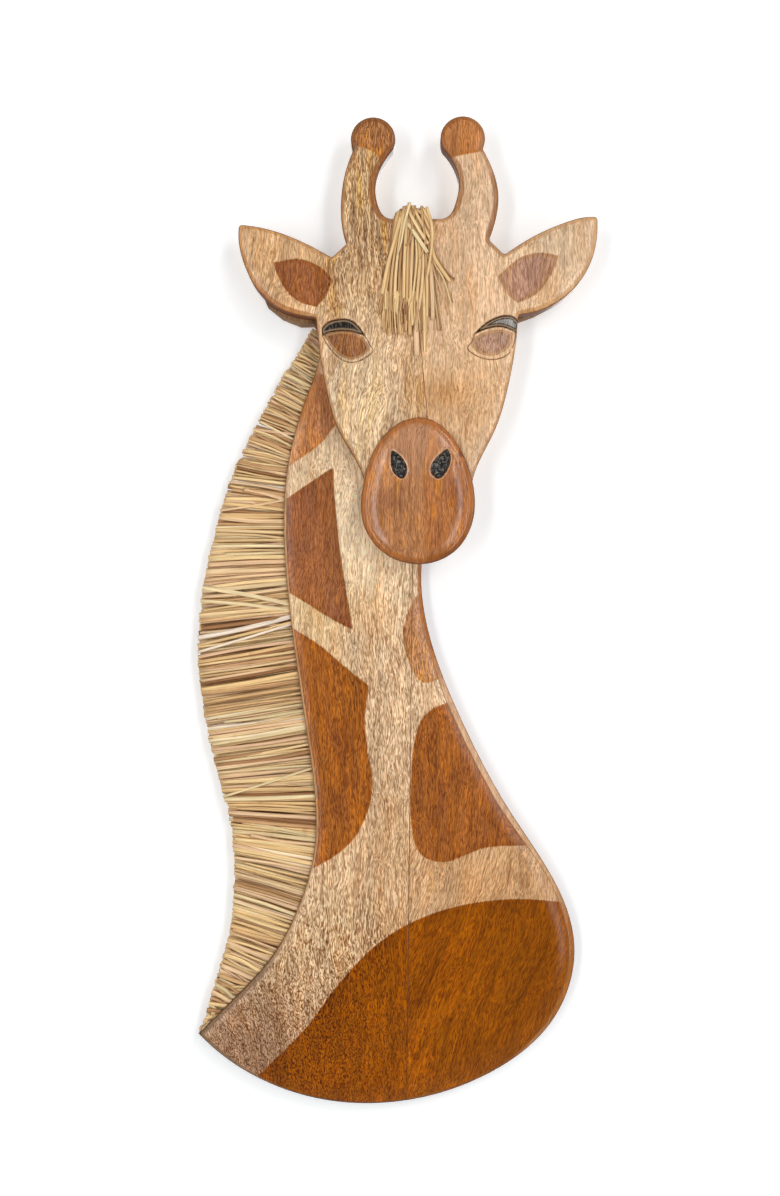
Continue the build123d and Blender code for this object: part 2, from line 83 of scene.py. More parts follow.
NECK_PATCHES = {
    "nape": (srgb(205, 142, 92), (
        (-60.0, 18.0), (-38.0, 15.0), [(-20.0, 0.0), (-33.6, -16.2), (-42.6, -27.0)],
        (-61.8, -40.5), (-80.0, -52.0),
    )),
    "upper_left": (srgb(160, 102, 64), (
        [(-80.0, -71.0), (-63.6, -60.0)], [(-34.2, -40.2), (-32.6, -64.0), (-28.8, -98.0)],
        [(-22.2, -138.0), (-33.0, -132.6), (-53.4, -120.0)], (-80.0, -104.0),
    )),
    "lower_left": (srgb(161, 96, 38), (
        [(-80.0, -124.0), (-57.6, -137.4), (-43.2, -146.4), (-28.2, -159.0)], [(-12.6, -171.6),
        (-15.0, -190.0), (-13.8, -208.0), (-10.8, -228.0), (-13.0, -246.0), (-24.0, -266.0),
        (-45.6, -280.8)], (-80.0, -295.0),
    )),
    "small_right": (srgb(194, 141, 98), (
        [(18.0, -116.0), (13.0, -121.5), (7.8, -139.2), (10.0, -153.0), (16.5, -167.0),
        (25.8, -168.9)], (48.0, -158.0), (36.0, -116.0),
    )),
    "large_right": (srgb(160, 96, 44), (
        [(60.0, -171.0), (37.0, -180.6), (24.6, -186.0), (16.8, -196.2), (13.2, -218.0),
        (12.4, -250.0), (17.5, -271.5), (33.6, -277.2), (57.0, -268.8), (80.7, -267.6)],
        (105.0, -269.0),
    )),
    "chest": (srgb(144, 79, 0), (
        [(-92.0, -418.0), (-74.4, -400.8), (-51.0, -377.4), (-31.8, -351.6), (-8.4, -327.0),
        (17.4, -311.4), (45.0, -302.8), (74.4, -299.4), (101.4, -301.2)], (130.0, -306.0),
        (130.0, -440.0), (-92.0, -440.0),
    )),
}
HEAD_PATCHES = {
    "ear_left": (srgb(152, 96, 60), (
        [(-69.2, 79.6), (-54.4, 81.9), (-42.0, 77.6)], [(-34.1, 69.9), (-38.0, 60.0)],
        [(-43.5, 53.4), (-54.4, 56.9), (-63.5, 66.0)],
    )),
    # Stain with painted sheen: lighter and more mauve than the left ear.
    "ear_right": (srgb(183, 142, 118), (
        [(63.9, 71.7), (76.0, 82.0), (88.0, 85.5)], [(100.0, 83.8), (94.1, 69.9), (85.5, 60.4)],
        [(75.4, 55.7), (69.0, 61.6)],
    )),
    "horn_tip_left": (srgb(172, 120, 77), (
        [(-40.0, 155.0), (-21.3, 149.2), (-9.5, 145.1), (-4.0, 138.5)], (12.0, 130.0),
        (12.0, 175.0), (-40.0, 175.0),
    )),
    "horn_tip_right": (srgb(181, 121, 73), (
        [(25.0, 140.5), (38.2, 142.6), (55.0, 145.7)], (66.0, 148.0), (66.0, 175.0), (25.0, 175.0),
    )),
    "lid_left": (srgb(157, 109, 79), (
        [(-38.8, 37.0), (-30.0, 39.0), (-22.5, 38.4)], [(-16.2, 35.6), (-13.2, 31.4)],
        [(-12.0, 28.0), (-17.6, 23.8), (-24.2, 22.4), (-30.2, 25.2), (-35.4, 30.8)],
    )),
    # Stain with painted sheen: lighter and more mauve than the left lid.
    "lid_right": (srgb(170, 136, 116), (
        [(49.4, 34.6), (56.6, 38.8), (66.5, 40.0)], [(72.8, 37.8), (71.2, 31.2), (66.6, 26.8),
        (60.0, 24.6), (52.8, 26.0), (48.4, 30.2)],
    )),
}
LASHES = {
    "lash_left": (
        [(-40.6, 40.6), (-35.6, 44.9), (-26.0, 46.3), (-19.5, 42.9)], [(-15.0, 36.6), (-22.5, 38.9),
        (-29.6, 39.4), (-36.7, 38.2)], (-39.8, 36.4),
    ),
    "lash_right": (
        [(50.0, 37.6), (56.8, 43.9), (65.0, 47.9), (72.5, 48.0)], (77.0, 44.0), [(76.0, 37.6),
        (71.5, 40.0), (65.0, 41.8), (57.4, 40.6)],
    ),
}
EYE_LINES = (
    (
        (-15.0, 36.6), (-11.9, 31.0), (-10.4, 26.9), (-17.5, 21.9), (-24.3, 20.8), (-30.8, 23.9),
        (-36.4, 30.2), (-40.0, 36.4),
    ),
    (
        (50.0, 37.6), (48.4, 33.0), (46.2, 28.4), (53.2, 23.7), (61.5, 22.4), (69.2, 25.0),
        (73.0, 30.9), (74.6, 37.8),
    ),
)
EYE_ZONES = ((-45.0, -5.0, 17.0, 50.0), (42.0, 79.0, 18.0, 52.0))


def smooth_run(points, steps=10):
    """A Catmull-Rom curve through the points, without its last point."""
    ends = [np.array(point, float) for point in (points[0], *points, points[-1])]
    if len(points) == 2:
        return [ends[1]]
    curve = []
    for before, start, end, after in zip(ends, ends[1:], ends[2:], ends[3:]):
        bend = 2 * before - 5 * start + 4 * end - after
        twist = 3 * start - before - 3 * end + after
        for t in np.arange(steps) / steps:
            curve.append(0.5 * (2 * start + (end - before) * t + bend * t**2 + twist * t**3))
    return curve


def whole_run(points, steps=10):
    """The same curve with its last point."""
    return np.array(smooth_run(points, steps) + [np.array(points[-1], float)])


def closed_outline(outline):
    """The polygon that an outline draws."""
    runs = [run if isinstance(run, list) else [run] for run in outline]
    points = []
    for run, following in zip(runs, runs[1:] + runs[:1]):
        points += smooth_run(run + following[:1])
    return np.array(points)


def distance_to_line(places, line):
    """How far each place is from a chain of straight segments."""
    best = np.full(len(places), 1e9)
    for start, end in zip(line[:-1], line[1:]):
        along = end - start
        share = np.clip(((places - start) @ along) / max(along @ along, 1e-12), 0, 1)
        nearest = start + share[:, None] * along
        best = np.minimum(best, np.hypot(*(places - nearest).T))
    return best


def within(places, segments):
    """Which places lie inside the rings that these segments form."""
    found = np.zeros(len(places), bool)
    x, z = places.T
    for (x1, z1), (x2, z2) in segments:
        if z1 != z2:
            crosses = (z1 > z) != (z2 > z)
            found ^= crosses & (x < (x2 - x1) * (z - z1) / (z2 - z1) + x1)
    return found


def inside_distance(places, outline):
    """Signed distance to an outline, positive inside it."""
    polygon = closed_outline(outline)
    ring = np.vstack([polygon, polygon[:1]])
    distance = distance_to_line(places, ring)
    return np.where(within(places, zip(ring, ring[1:])), distance, -distance)


def ripple(x, z, seed, length):
    """A gentle random swell between -1 and 1, made of a few waves about this long."""
    dice = random.Random(seed)
    total = np.zeros(len(x))
    for _ in range(7):
        turn = dice.uniform(0, math.tau)
        wave = math.tau / (length * dice.uniform(0.7, 1.6))
        total += np.sin((x * math.cos(turn) + z * math.sin(turn)) * wave + dice.uniform(0, math.tau))
    return total / 4.5


# --- Boards ---------------------------------------------------------------------------------------

SHARP_ANGLE = math.radians(38)
BACK_FACING = 0.999
RIM_STEP = 0.25
SAME_LEVEL = 0.01


def lattice(low_x, high_x, low_z, high_z, step):
    """Points of a staggered grid over a box."""
    rows = enumerate(np.arange(low_z, high_z, step * 0.866))
    points = [
        (x, z) for index, z in rows for x in np.arange(low_x + (index % 2) * step / 2, high_x, step)
    ]
    return np.array(points).reshape(-1, 2)


def front_grid(low_x, high_x, low_z, high_z, spacing, zones, fine):
    """A staggered grid over a box, closer together inside the zones."""
    grid = lattice(low_x, high_x, low_z, high_z, spacing)
    for x1, x2, z1, z2 in zones:
        x, z = grid.T
        grid = grid[~((x > x1) & (x < x2) & (z > z1) & (z < z2))]
        x1, x2 = max(x1, low_x), min(x2, high_x)
        z1, z2 = max(z1, low_z), min(z2, high_z)
        if x2 > x1 and z2 > z1:
            grid = np.vstack([grid, lattice(x1, x2, z1, z2, fine)])
    return grid


def flat_patch(work, level, spacing, zones, fine):
    """Meshes the flat faces at one depth again, finely, around the same rim. Returns the rim."""
    flat_faces = [
        face for face in work.faces if all(abs(vertex.co.y - level) < 1e-5 for vertex in face.verts)
    ]
    chosen = set(flat_faces)
    edges = {edge for face in flat_faces for edge in face.edges}
    rim = [edge for edge in edges if sum(face in chosen for face in edge.link_faces) == 1]
    rim.sort(key=lambda edge: edge.index)
    rim_verts = sorted({vertex for edge in rim for vertex in edge.verts}, key=lambda vertex: vertex.index)
    number = {vertex: index for index, vertex in enumerate(rim_verts)}
    corners = np.array([(vertex.co.x / MM, vertex.co.z / MM) for vertex in rim_verts])
    segments = [tuple(number[vertex] for vertex in edge.verts) for edge in rim]
    rim_lines = [(corners[start], corners[end]) for start, end in segments]
    (low_x, low_z), (high_x, high_z) = corners.min(axis=0), corners.max(axis=0)
    grid = front_grid(low_x, high_x, low_z, high_z, spacing, zones, fine)
    clear = np.full(len(grid), True)
    for line in rim_lines:
        low, high = np.minimum(*line) - 1, np.maximum(*line) + 1
        picked = np.where(((grid > low) & (grid < high)).all(axis=1))[0]
        if len(picked):
            close = distance_to_line(grid[picked], np.array(line)) < 0.3 * fine + 0.05
            clear[picked[close]] = False
    points = [Vector(point) for point in (*corners, *grid[clear])]
    verts, _, faces, origins, _, _ = delaunay_2d_cdt(points, segments, [], 1, 1e-5)
    middles = np.array([np.mean([verts[index] for index in face], axis=0) for face in faces])
    bmesh.ops.delete(work, geom=flat_faces, context="FACES_ONLY")
    placed = []
    for vertex, origin in zip(verts, origins):
        known = [index for index in origin if index < len(rim_verts)]
        if known:
            placed.append(rim_verts[known[0]])
        else:
            placed.append(work.verts.new((vertex.x * MM, level, vertex.y * MM)))
    for face, kept in zip(faces, within(middles, rim_lines)):
        loop = [placed[index] for index in face]
        if kept and len(set(loop)) > 2:
            made = work.faces.new(loop)
            made.normal_update()
            if made.normal.y > 0:
                made.normal_flip()
    work.verts.index_update()
    return rim_lines


def board_copy(node, spacing, zones=(), fine=0.4, pit_depth=0.0):
    """A copy of a CAD board whose flat front is meshed finely enough to carve and paint.

    Returns the board and the rim of its front. Flat pits this deep get a fine mesh too.
    """
    work = bmesh.new()
    work.from_mesh(NODES[node].data)
    bmesh.ops.remove_doubles(work, verts=work.verts, dist=2e-6)
    work.verts.index_update()
    work.edges.index_update()
    front_level = min(vertex.co.y for vertex in work.verts)
    rim = flat_patch(work, front_level, spacing, zones, fine)
    if pit_depth:
        work.edges.index_update()
        flat_patch(work, front_level + pit_depth * MM, PIT_SPACING, (), fine)
    bmesh.ops.recalc_face_normals(work, faces=work.faces)
    board = new_object(node + "_carved")
    mesh = board.data
    work.to_mesh(mesh)
    work.free()
    mesh.shade_smooth()
    mesh.set_sharp_from_angle(angle=SHARP_ANGLE)
    for face in mesh.polygons:
        if face.normal.y > BACK_FACING:
            face.use_smooth = False
    return board, rim


def new_object(name):
    """An empty mesh object in the scene."""
    piece = bpy.data.objects.new(name, bpy.data.meshes.new(name))
    bpy.context.scene.collection.objects.link(piece)
    return piece


def tie(piece, node, material):
    """Gives a piece its material and ties it to the CAD node that it stands for."""
    piece.data.materials.append(material)
    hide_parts(node)
    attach(piece, "root")


def edge_reach(mesh, rim, skip, round_over):
    """How far inside the board's outline each vertex is, seen from the front, in millimetres.

    skip says of a rim point whether it lies on a seam or a nostril, which is not the outline.
    """
    samples = []
    for start, end in rim:
        if skip(start) and skip(end):
            continue
        count = max(2, math.ceil(np.hypot(*(end - start)) / RIM_STEP))
        samples += [start + (end - start) * step / count for step in range(count)]
    tree = KDTree(len(samples))
    for index, sample in enumerate(samples):
        tree.insert((sample[0], 0.0, sample[1]), index)
    tree.balance()
    points = mesh_points(mesh)
    level = points[:, 1].min() + SAME_LEVEL
    reach = np.array([tree.find((x, 0.0, z))[2] for x, _, z in points])
    return np.where(points[:, 1] < level, round_over + reach, np.maximum(round_over - reach, 0.0))


def mesh_points(mesh):
    """The vertices in millimetres."""
    values = np.empty(len(mesh.vertices) * 3, np.float32)
    mesh.vertices.foreach_get("co", values)
    return values.reshape(-1, 3).astype(float) / MM


def front_places(mesh):
    """The vertices' X and Z in millimetres."""
    return mesh_points(mesh)[:, [0, 2]]


def set_points(mesh, points):
    """Moves the vertices to these places in millimetres."""
    mesh.vertices.foreach_set("co", (points * MM).astype(np.float32).ravel())
    mesh.update()


def front_share(mesh):
    """1 on vertices of the flat front, less over the rounded edge, 0 on walls and back."""
    values = np.empty(len(mesh.vertices) * 3, np.float32)
    mesh.vertex_normals.foreach_get("vector", values)
    depth = mesh_points(mesh)[:, 1]
    share = np.clip(-values.reshape(-1, 3)[:, 1], 0, 1)
    share[depth < depth.min() + SAME_LEVEL] = 1
    return share


def add_values(mesh, **values):
    """Stores numbers on each vertex for the shaders."""
    for name, numbers in values.items():
        layer = mesh.attributes.new(name, "FLOAT", "POINT")
        layer.data.foreach_set("value", np.asarray(numbers, np.float32))


def add_colour(mesh, name, values):
    """Stores one colour on each vertex for the shaders."""
    layer = mesh.attributes.new(name, "FLOAT_COLOR", "POINT")
    rgba = np.ones((len(values), 4), np.float32)
    rgba[:, :3] = values
    layer.data.foreach_set("color", rgba.ravel())


def stain_layers(mesh, patches):
    """Stores how deep each vertex is inside the nearest stain patch, and that patch's colour."""
    places = front_places(mesh)
    depth = np.full(len(places), -50.0)
    colour = np.zeros((len(places), 3))
    for patch_colour, outline in patches.values():
        signed = inside_distance(places, outline)
        nearer = signed > depth
        depth[nearer] = signed[nearer]
        colour[nearer] = patch_colour
    add_values(mesh, stain=depth)
    add_colour(mesh, "stain_and_sheen_colour", colour)


def blob(places, centre, reach, squash=(1.0, 1.0)):
    """A soft round patch of 1 around a centre, falling to 0 at this reach."""
    offset = (places - np.array(centre)) * np.array(squash)
    return np.exp(-((np.hypot(*offset.T) / reach) ** 2) * 2)


# --- Shader building blocks -----------------------------------------------------------------------


class Value:
    """A number, colour or vector in a node tree. Arithmetic on it adds the nodes it needs."""

    def __init__(self, nodes, socket):
        self.nodes = nodes
        self.socket = socket

    def join(self, operation, *others):
        single = self.socket.type == "VALUE"
        return (self.nodes.math if single else self.nodes.vector)(operation, self, *others)

    def __mul__(self, other):
        """Vectors and colours are scaled by a number, or by a tuple part by part."""
        if self.socket.type == "VALUE" or isinstance(other, tuple):
            return self.join("MULTIPLY", other)
        return self.nodes.scaled(self, other)

    def __add__(self, other):
        return self.join("ADD", other)

    def __sub__(self, other):
        return self.join("SUBTRACT", other)

    def __rsub__(self, other):
        return self.nodes.math("SUBTRACT", other, self)

    def __truediv__(self, other):
        return self.join("DIVIDE", other)

    def __abs__(self):
        return self.join("ABSOLUTE")


class Nodes:
    """Adds and links nodes in a tree."""

    def __init__(self, tree):
        self.tree = tree

    def feed(self, target, value):
        """Links a socket, or sets a constant on it."""
        source = value.socket if isinstance(value, Value) else value
        if isinstance(source, bpy.types.NodeSocket):
            self.tree.links.new(source, target)
        elif isinstance(value, tuple) and target.type == "RGBA":
            target.default_value = (*value, 1)
        else:
            target.default_value = value

    def node(self, kind, output=0, inputs=None, **settings):
        """Adds a node, feeds its inputs and returns one of its outputs."""
        node = self.tree.nodes.new("ShaderNode" + kind)
        for key, value in settings.items():
            setattr(node, key, value)
        for key, value in (inputs or {}).items():
            self.feed(node.inputs[key], value)
        return Value(self, node.outputs[output])

    def math(self, operation, *values):
        return self.node("Math", 0, dict(enumerate(values)), operation=operation)

    def vector(self, operation, *values):
        return self.node("VectorMath", 0, dict(enumerate(values)), operation=operation)

    def scaled(self, colour, factor):
        """A colour or vector times a number."""
        return self.node("VectorMath", 0, {0: colour, "Scale": factor}, operation="SCALE")

    def noise(self, place, detail=2.0, rough=0.55, output="Fac"):
        inputs = {"Vector": place, "Scale": 1.0, "Detail": detail, "Roughness": rough}
        return self.node("TexNoise", output, inputs)

    def step(self, value, low, high, to_low=0.0, to_high=1.0, kind="SMOOTHSTEP"):
        """A smooth step of value from low to high."""
        names = ("Value", "From Min", "From Max", "To Min", "To Max")
        inputs = dict(zip(names, (value, low, high, to_low, to_high)))
        return self.node("MapRange", "Result", inputs, interpolation_type=kind)

    def swing(self, value, amount):
        """Turns a noise around 0.5 into a factor around 1."""
        return self.math("MULTIPLY_ADD", value, 2 * amount, 1 - amount)

    def mix(self, share, first, second, blend="MIX"):
        inputs = {0: share, 6: first, 7: second}
        return self.node("Mix", 2, inputs, data_type="RGBA", blend_type=blend)

    def tint(self, share, colour, tone, lift=None):
        """A colour multiplied by another, this strongly, and lifted by a factor first."""
        lifted = colour * lift if lift else colour
        return self.mix(share, colour, self.mix(1.0, lifted, tone, "MULTIPLY"))

    def blend(self, share, first, second):
        """Mixes two numbers."""
        return self.node("Mix", 0, {0: share, 2: first, 3: second}, data_type="FLOAT")


class Shader(Nodes):
    """A material and its nodes."""

    def __init__(self, name):
        self.material = bpy.data.materials.new(name)
        self.material.use_nodes = True
        super().__init__(self.material.node_tree)
        self.tree.nodes.clear()
        self.surface = self.tree.nodes.new("ShaderNodeBsdfPrincipled")
        self.output = self.tree.nodes.new("ShaderNodeOutputMaterial")
        self.feed(self.output.inputs["Surface"], self.surface.outputs["BSDF"])

    def ramp(self, value, *stops):
        colour = self.node("ValToRGB", "Color", {"Fac": value})
        elements = colour.socket.node.color_ramp.elements
        while len(elements) < len(stops):
            elements.new(0.5)
        for element, (place, tone) in zip(elements, stops):
            element.position = place
            element.color = (*tone, 1)
        return colour

    def value(self, name):
        return self.node("Attribute", "Fac", attribute_name=name)

    def colour(self, name):
        return self.node("Attribute", "Color", attribute_name=name)

    def place(self, offset=(0, 0, 0)):
        """Object coordinates in millimetres, moved by an offset."""
        return self.node("TexCoord", "Object") * (1 / MM) + offset

    def facing(self):
        """How squarely the surface faces the front: 1 at the front, -1 at the back."""
        normal = self.node("NewGeometry", "Normal")
        return self.node("SeparateXYZ", "Y", {0: normal}) * -1.0

    def bump(self, height, distance, strength=1.0):
        inputs = {"Height": height, "Distance": distance, "Strength": strength}
        return self.node("Bump", "Normal", inputs)

    def finish(self, **sockets):
        """Feeds the surface and returns the material. All but a few sockets are constants."""
        for key, value in sockets.items():
            self.feed(self.surface.inputs[key.replace("_", " ")], value)
        return self.material


# --- Materials ------------------------------------------------------------------------------------

PALE_LINE = srgb(172, 142, 114)
STAINED_LINE = srgb(138, 96, 64)
WARM_TINT = srgb(252, 226, 190)
YELLOW_TINT = srgb(255, 236, 172)
DUSK_TINT = srgb(186, 178, 178)
GLOW_TINT = srgb(255, 244, 160)
# The colour of the painted sheen patches on stained wood.
SHEEN_PATCH_TINT = srgb(214, 206, 255)
RIM_TINT = srgb(244, 226, 150)
OUTLINE_TINT = srgb(150, 118, 92)
EDGE_LINE = srgb(134, 84, 40)
BLACK_PAINT = srgb(34, 29, 26)
EDGE_TINT = srgb(222, 178, 128)
RAW_BACK = srgb(206, 168, 124)
PALE_LIFT = 1.28
STAIN_LIFT = 1.30
GLOW_LIFT = 1.5


class Grain:
    """The grain of a wood board that runs along Z, as shader values.

    tone, band and streak are noises from broad to fine; hair and dash are crisp short lines, 0 in
    a dark line and 1 between the lines; pores are sparse dark dots; layers are the lines seen on
    a board's edge. curl, 0 to 1, makes the figure short and wavy, and lean leans it sideways.
    """

    def __init__(self, shader, seed, wander=11.0, curl=0.0, lean=0.0):
        dice = random.Random(seed)
        step = shader.step
        self.shader = shader
        place = shader.place(tuple(dice.uniform(-500, 500) for _ in range(3)))
        place = place + shader.node("CombineXYZ", 0, {0: lean})
        self.path = place + self.wobble(place, (90.0, 90.0, 150.0), wander)
        self.path = self.path + self.wobble(place, (9.0, 9.0, 22.0), 1.5)
        self.path = self.path + self.wobble(place, (5.0, 5.0, 6.0), 1.5) * curl
        self.tone = self.stretched(30.0, 260.0, 3.0)
        self.band = self.stretched(6.0, 90.0, 3.0)
        self.streak = step(self.stretched(1.7, 42.0, 2.0), 0.32, 0.68)
        self.hair = step(self.stretched(0.62, 14.0, 1.0), 0.38, 0.55)
        long_dash = self.stretched(0.42, 3.6, 0.0)
        short_dash = self.stretched(0.58, 1.7, 0.0)
        self.dash = step(shader.blend(curl, long_dash, short_dash), 0.39, 0.54)
        crowd = step(self.stretched(7.0, 30.0, 2.0), 0.30, 0.62, 0.35, 1.0)
        cells = {"Vector": self.path * (1 / 0.95, 0.08, 1 / 5.0), "Scale": 1.0}
        self.pores = step(shader.node("TexVoronoi", "Distance", cells), 0.45, 0.25) * crowd
        self.shimmer = shader.noise(place * (0.05, 0.05, 0.11))
        self.layers = shader.noise(place * (0.03, 0.8, 0.03), 2.0, 0.6)

    def wobble(self, place, lengths, amount):
        """A sideways push that varies over these lengths."""
        scales = tuple(1 / length for length in lengths)
        push = self.shader.noise(place * scales, 2.0, 0.5, "Color") - (0.5, 0.5, 0.5)
        return push * (3 * amount, 3 * amount, 0)

    def stretched(self, across, along, detail):
        """Noise with features this many millimetres across and along the grain."""
        return self.shader.noise(self.path * (1 / across, 1 / across, 1 / along), detail)

    def lined(self, colour, hair, dash, dark):
        """A colour with its fine dark lines drawn in, this strongly."""
        for share, strength in ((self.hair, hair), (self.dash, dash)):
            colour = self.shader.tint((1.0 - share) * strength, colour, dark)
        return colour

    def relief(self, distance, strength):
        """The bump of the fine lines."""
        return self.shader.bump(self.dash + self.hair * 0.6, distance, strength)


def wood_material(name, seed, painted=False):
    """Lacquered pale wood with stain patches, edge bands of wear and painted shade, painted sheen patches
    on the stain, and a raw back.
    """
    shader = Shader(name)
    step, swing, mix, tint = shader.step, shader.swing, shader.mix, shader.tint
    figure = shader.value("figure")
    dusk = shader.value("dusk")
    grain = Grain(shader, seed, curl=shader.value("curl"), lean=shader.value("lean"))
    light = swing(grain.tone, 0.25) * swing(grain.band, 0.35) * swing(grain.streak, 0.13)
    light = light * swing(grain.shimmer, 0.12) * PALE_LIFT
    pale = shader.colour("wood_colour_and_painted_light") * light
    pale = tint(step(grain.stretched(13.0, 60.0, 2.0), 0.48, 0.72) * 0.5, pale, WARM_TINT)
    yellow = step(grain.stretched(4.0, 80.0, 2.0), 0.54, 0.64)
    pale = tint(dusk * yellow * 0.8, pale, YELLOW_TINT)
    blue = step(grain.stretched(3.2, 70.0, 2.0), 0.50, 0.60)
    pale = tint(dusk * blue * 0.8, pale, DUSK_TINT)
    pale = grain.lined(pale, figure * 0.45 + 0.40, figure * 0.95 + 0.24, PALE_LINE)
    pale = tint(grain.pores * 0.3, pale, PALE_LINE)

    reach = shader.value("stain") + (grain.streak * 0.3 - 0.15)
    depth = swing(grain.tone, 0.35) * swing(grain.band, 0.45) * STAIN_LIFT
    stained = shader.colour("stain_and_sheen_colour") * depth
    vary = shader.math("MINIMUM", figure * 1.5, 0.65)
    glow = step(grain.stretched(2.2, 26.0, 3.0), 0.46, 0.64) * vary
    stained = tint(glow, stained, GLOW_TINT, GLOW_LIFT)
    # Painted sheen: mauve patches on the stain stand for the lacquer's hazy reflection.
    sheen_patches = step(grain.stretched(22.0, 48.0, 2.0), 0.52, 0.72) * vary
    stained = tint(sheen_patches, stained, SHEEN_PATCH_TINT)
    stained = grain.lined(stained, 0.46, figure * 0.6 + 0.3, STAINED_LINE)
    stained = tint(step(reach, 3.5, 0.3) * 0.5, stained, RIM_TINT)
    colour = mix(step(reach, -0.5, 0.5), pale, stained)

    # The band along the outline is partly wear and partly painted shade: darker bands and the line on the
    # right stand for rounded edges turning from the light.
    edge = shader.value("edge")
    share = (edge + (grain.band * 1.2 - 0.6)) / shader.value("edge_width")
    edge_wear_and_shade = shader.colour("edge_colour") * swing(grain.streak, 0.12)
    edge_wear_and_shade = grain.lined(edge_wear_and_shade, 0.3, 0.2, PALE_LINE)
    colour = mix(step(share, 1.15, 0.8) * shader.value("edge_strength"), colour, edge_wear_and_shade)
    line = step(abs(share - 1.12), 0.16, 0.04)
    colour = mix(line * shader.value("edge_line"), colour, EDGE_LINE)
    colour = tint(step(edge, 0.8, 0.15) * 0.75, colour, OUTLINE_TINT)

    facing = shader.facing()
    wall = step(facing, 0.4, 0.1) * step(facing, -0.8, -0.2)
    side = mix(1.0, colour, EDGE_TINT, "MULTIPLY") * swing(grain.layers, 0.7)
    colour = mix(wall * 0.8, colour, side)
    colour = mix(step(shader.value("seam"), 0.45, 0.1) * 0.5, colour, EDGE_LINE)
    raw = grain.lined(shader.scaled(RAW_BACK, light), 0.4, 0.3, PALE_LINE)
    colour = mix(step(facing, -0.6, -0.9), colour, raw)
    roughness = grain.dash * 0.12 + 0.42
    if painted:
        colour, covered = eye_paint(shader, grain, colour)
        roughness = shader.blend(covered, roughness, 0.2)
    return shader.finish(
        Base_Color=colour,
        Roughness=roughness,
        Normal=grain.relief(0.00008, 0.6),
        Specular_IOR_Level=0.05,
        Coat_Weight=0.35,
        Coat_Roughness=0.17,
        Coat_IOR=1.45,
    )


def eye_paint(shader, grain, colour):
    """Adds the black lashes, with a painted sheen on the right one, and the carved eye lines. Returns the
    colour and where the paint is.
    """
    step, mix = shader.step, shader.mix
    paint = shader.value("paint")
    covered = step(paint + (grain.hair * 0.4 - 0.2), -0.2, 0.2)
    scratches = step(grain.stretched(0.8, 3.0, 1.0), 0.50, 0.66) * step(paint, 0.5, 1.2)
    lash = mix(scratches * 0.6, BLACK_PAINT, srgb(112, 104, 98))
    groove = step(abs(paint - 1.1), 0.34, 0.1)
    lash = mix(groove * 0.35, lash, srgb(128, 112, 96))
    # Painted sheen: the right lash's middle is painted light grey for the reflection of its gloss.
    grey = shader.scaled(srgb(146, 142, 138), shader.swing(grain.hair, 0.35))
    lash = mix(step(shader.value("sheen"), 1.9, 2.3) * 0.92, lash, grey)
    colour = mix(covered, colour, lash)
    cut = shader.value("cut")
    halo = step(cut, 2.2, 1.0) * step(cut, 0.6, 1.0)
    colour = mix(halo * 0.3, colour, srgb(240, 196, 146))
    return mix(step(cut, 0.5, 0.15) * 0.75, colour, srgb(98, 60, 30)), covered


def muzzle_material():
    """Brown stained wood with black paint inside the nostrils."""
    shader = Shader("muzzle_wood")
    step, swing, mix, tint = shader.step, shader.swing, shader.mix, shader.tint
    grain = Grain(shader, 41, wander=8.0)
    tones = ((0.3, srgb(162, 96, 50)), (0.5, srgb(180, 118, 70)), (0.7, srgb(194, 138, 92)))
    base = shader.ramp(grain.tone, *tones)
    base = base * (swing(grain.band, 0.6) * swing(grain.streak, 0.14) * 1.16)
    # Painted sheen: mauve patches stand for the lacquer's hazy reflection.
    sheen_patches = step(grain.stretched(12.0, 40.0, 2.0), 0.50, 0.66)
    base = tint(sheen_patches * 0.55, base, srgb(206, 196, 220))
    glow = step(grain.stretched(5.0, 26.0, 3.0), 0.54, 0.68)
    base = tint(glow * 0.7, base, GLOW_TINT, GLOW_LIFT)
    base = grain.lined(base, 0.4, 0.35, STAINED_LINE)
    crest = shader.scaled(srgb(204, 156, 124), swing(grain.hair, 0.2))
    base = mix(shader.value("crest") * 0.4, base, crest)
    # The darker rim bands are partly wear and partly painted shade; the shade value adds painted shade at
    # the lower right edge.
    edge = shader.value("edge") + (grain.band * 1.6 - 0.8)
    edge_wear_and_shade = shader.scaled(srgb(172, 98, 30), swing(grain.streak, 0.25))
    base = mix(step(edge, 4.6, 2.4) * 0.75, base, edge_wear_and_shade)
    base = mix(step(edge, 0.9, 0.1) * 0.7, base, srgb(92, 48, 16))
    shade = step(edge, 5.0, 0.8) * shader.value("shade")
    base = mix(shade * 0.65, base, srgb(112, 58, 14))
    rim = shader.value("rim")
    base = mix(step(abs(rim - 0.35), 0.45, 0.15) * 0.6, base, srgb(228, 178, 132))
    base = mix(step(abs(rim + 0.2), 0.35, 0.1) * 0.5, base, srgb(110, 56, 22))
    # Painted highlights: grey patches on the black nostril paint stand for the gloss on the carved floor.
    patchy = shader.noise(shader.place() * 0.7, 2.0)
    paint = mix(step(patchy, 0.5, 0.64), BLACK_PAINT, srgb(116, 112, 106))
    paint = mix(step(patchy, 0.46, 0.36) * shader.value("bare"), paint, srgb(150, 84, 36))
    painted = step(shader.value("paint"), -0.6, 0.0)
    return shader.finish(
        Base_Color=mix(painted, base, paint),
        Roughness=shader.blend(painted, grain.dash * 0.12 + 0.38, 0.22),
        Normal=grain.relief(0.0001, 0.8),
        Specular_IOR_Level=0.08,
        Coat_Weight=0.7,
        Coat_Roughness=0.15,
        Coat_IOR=1.45,
    )


STRAW_TONES = (
    # The darkest stop is partly painted shade: it matches the shadowed gaps between straws.
    (0.0, srgb(140, 94, 56)),
    (0.12, srgb(196, 153, 107)),
    (0.3, srgb(223, 187, 131)),
    (0.46, srgb(231, 201, 147)),
    (0.6, srgb(221, 182, 145)),
    (0.74, srgb(217, 195, 147)),
    (0.88, srgb(231, 208, 163)),
    (1.0, srgb(232, 216, 197)),
)
STRAW_LIFT = 1.18


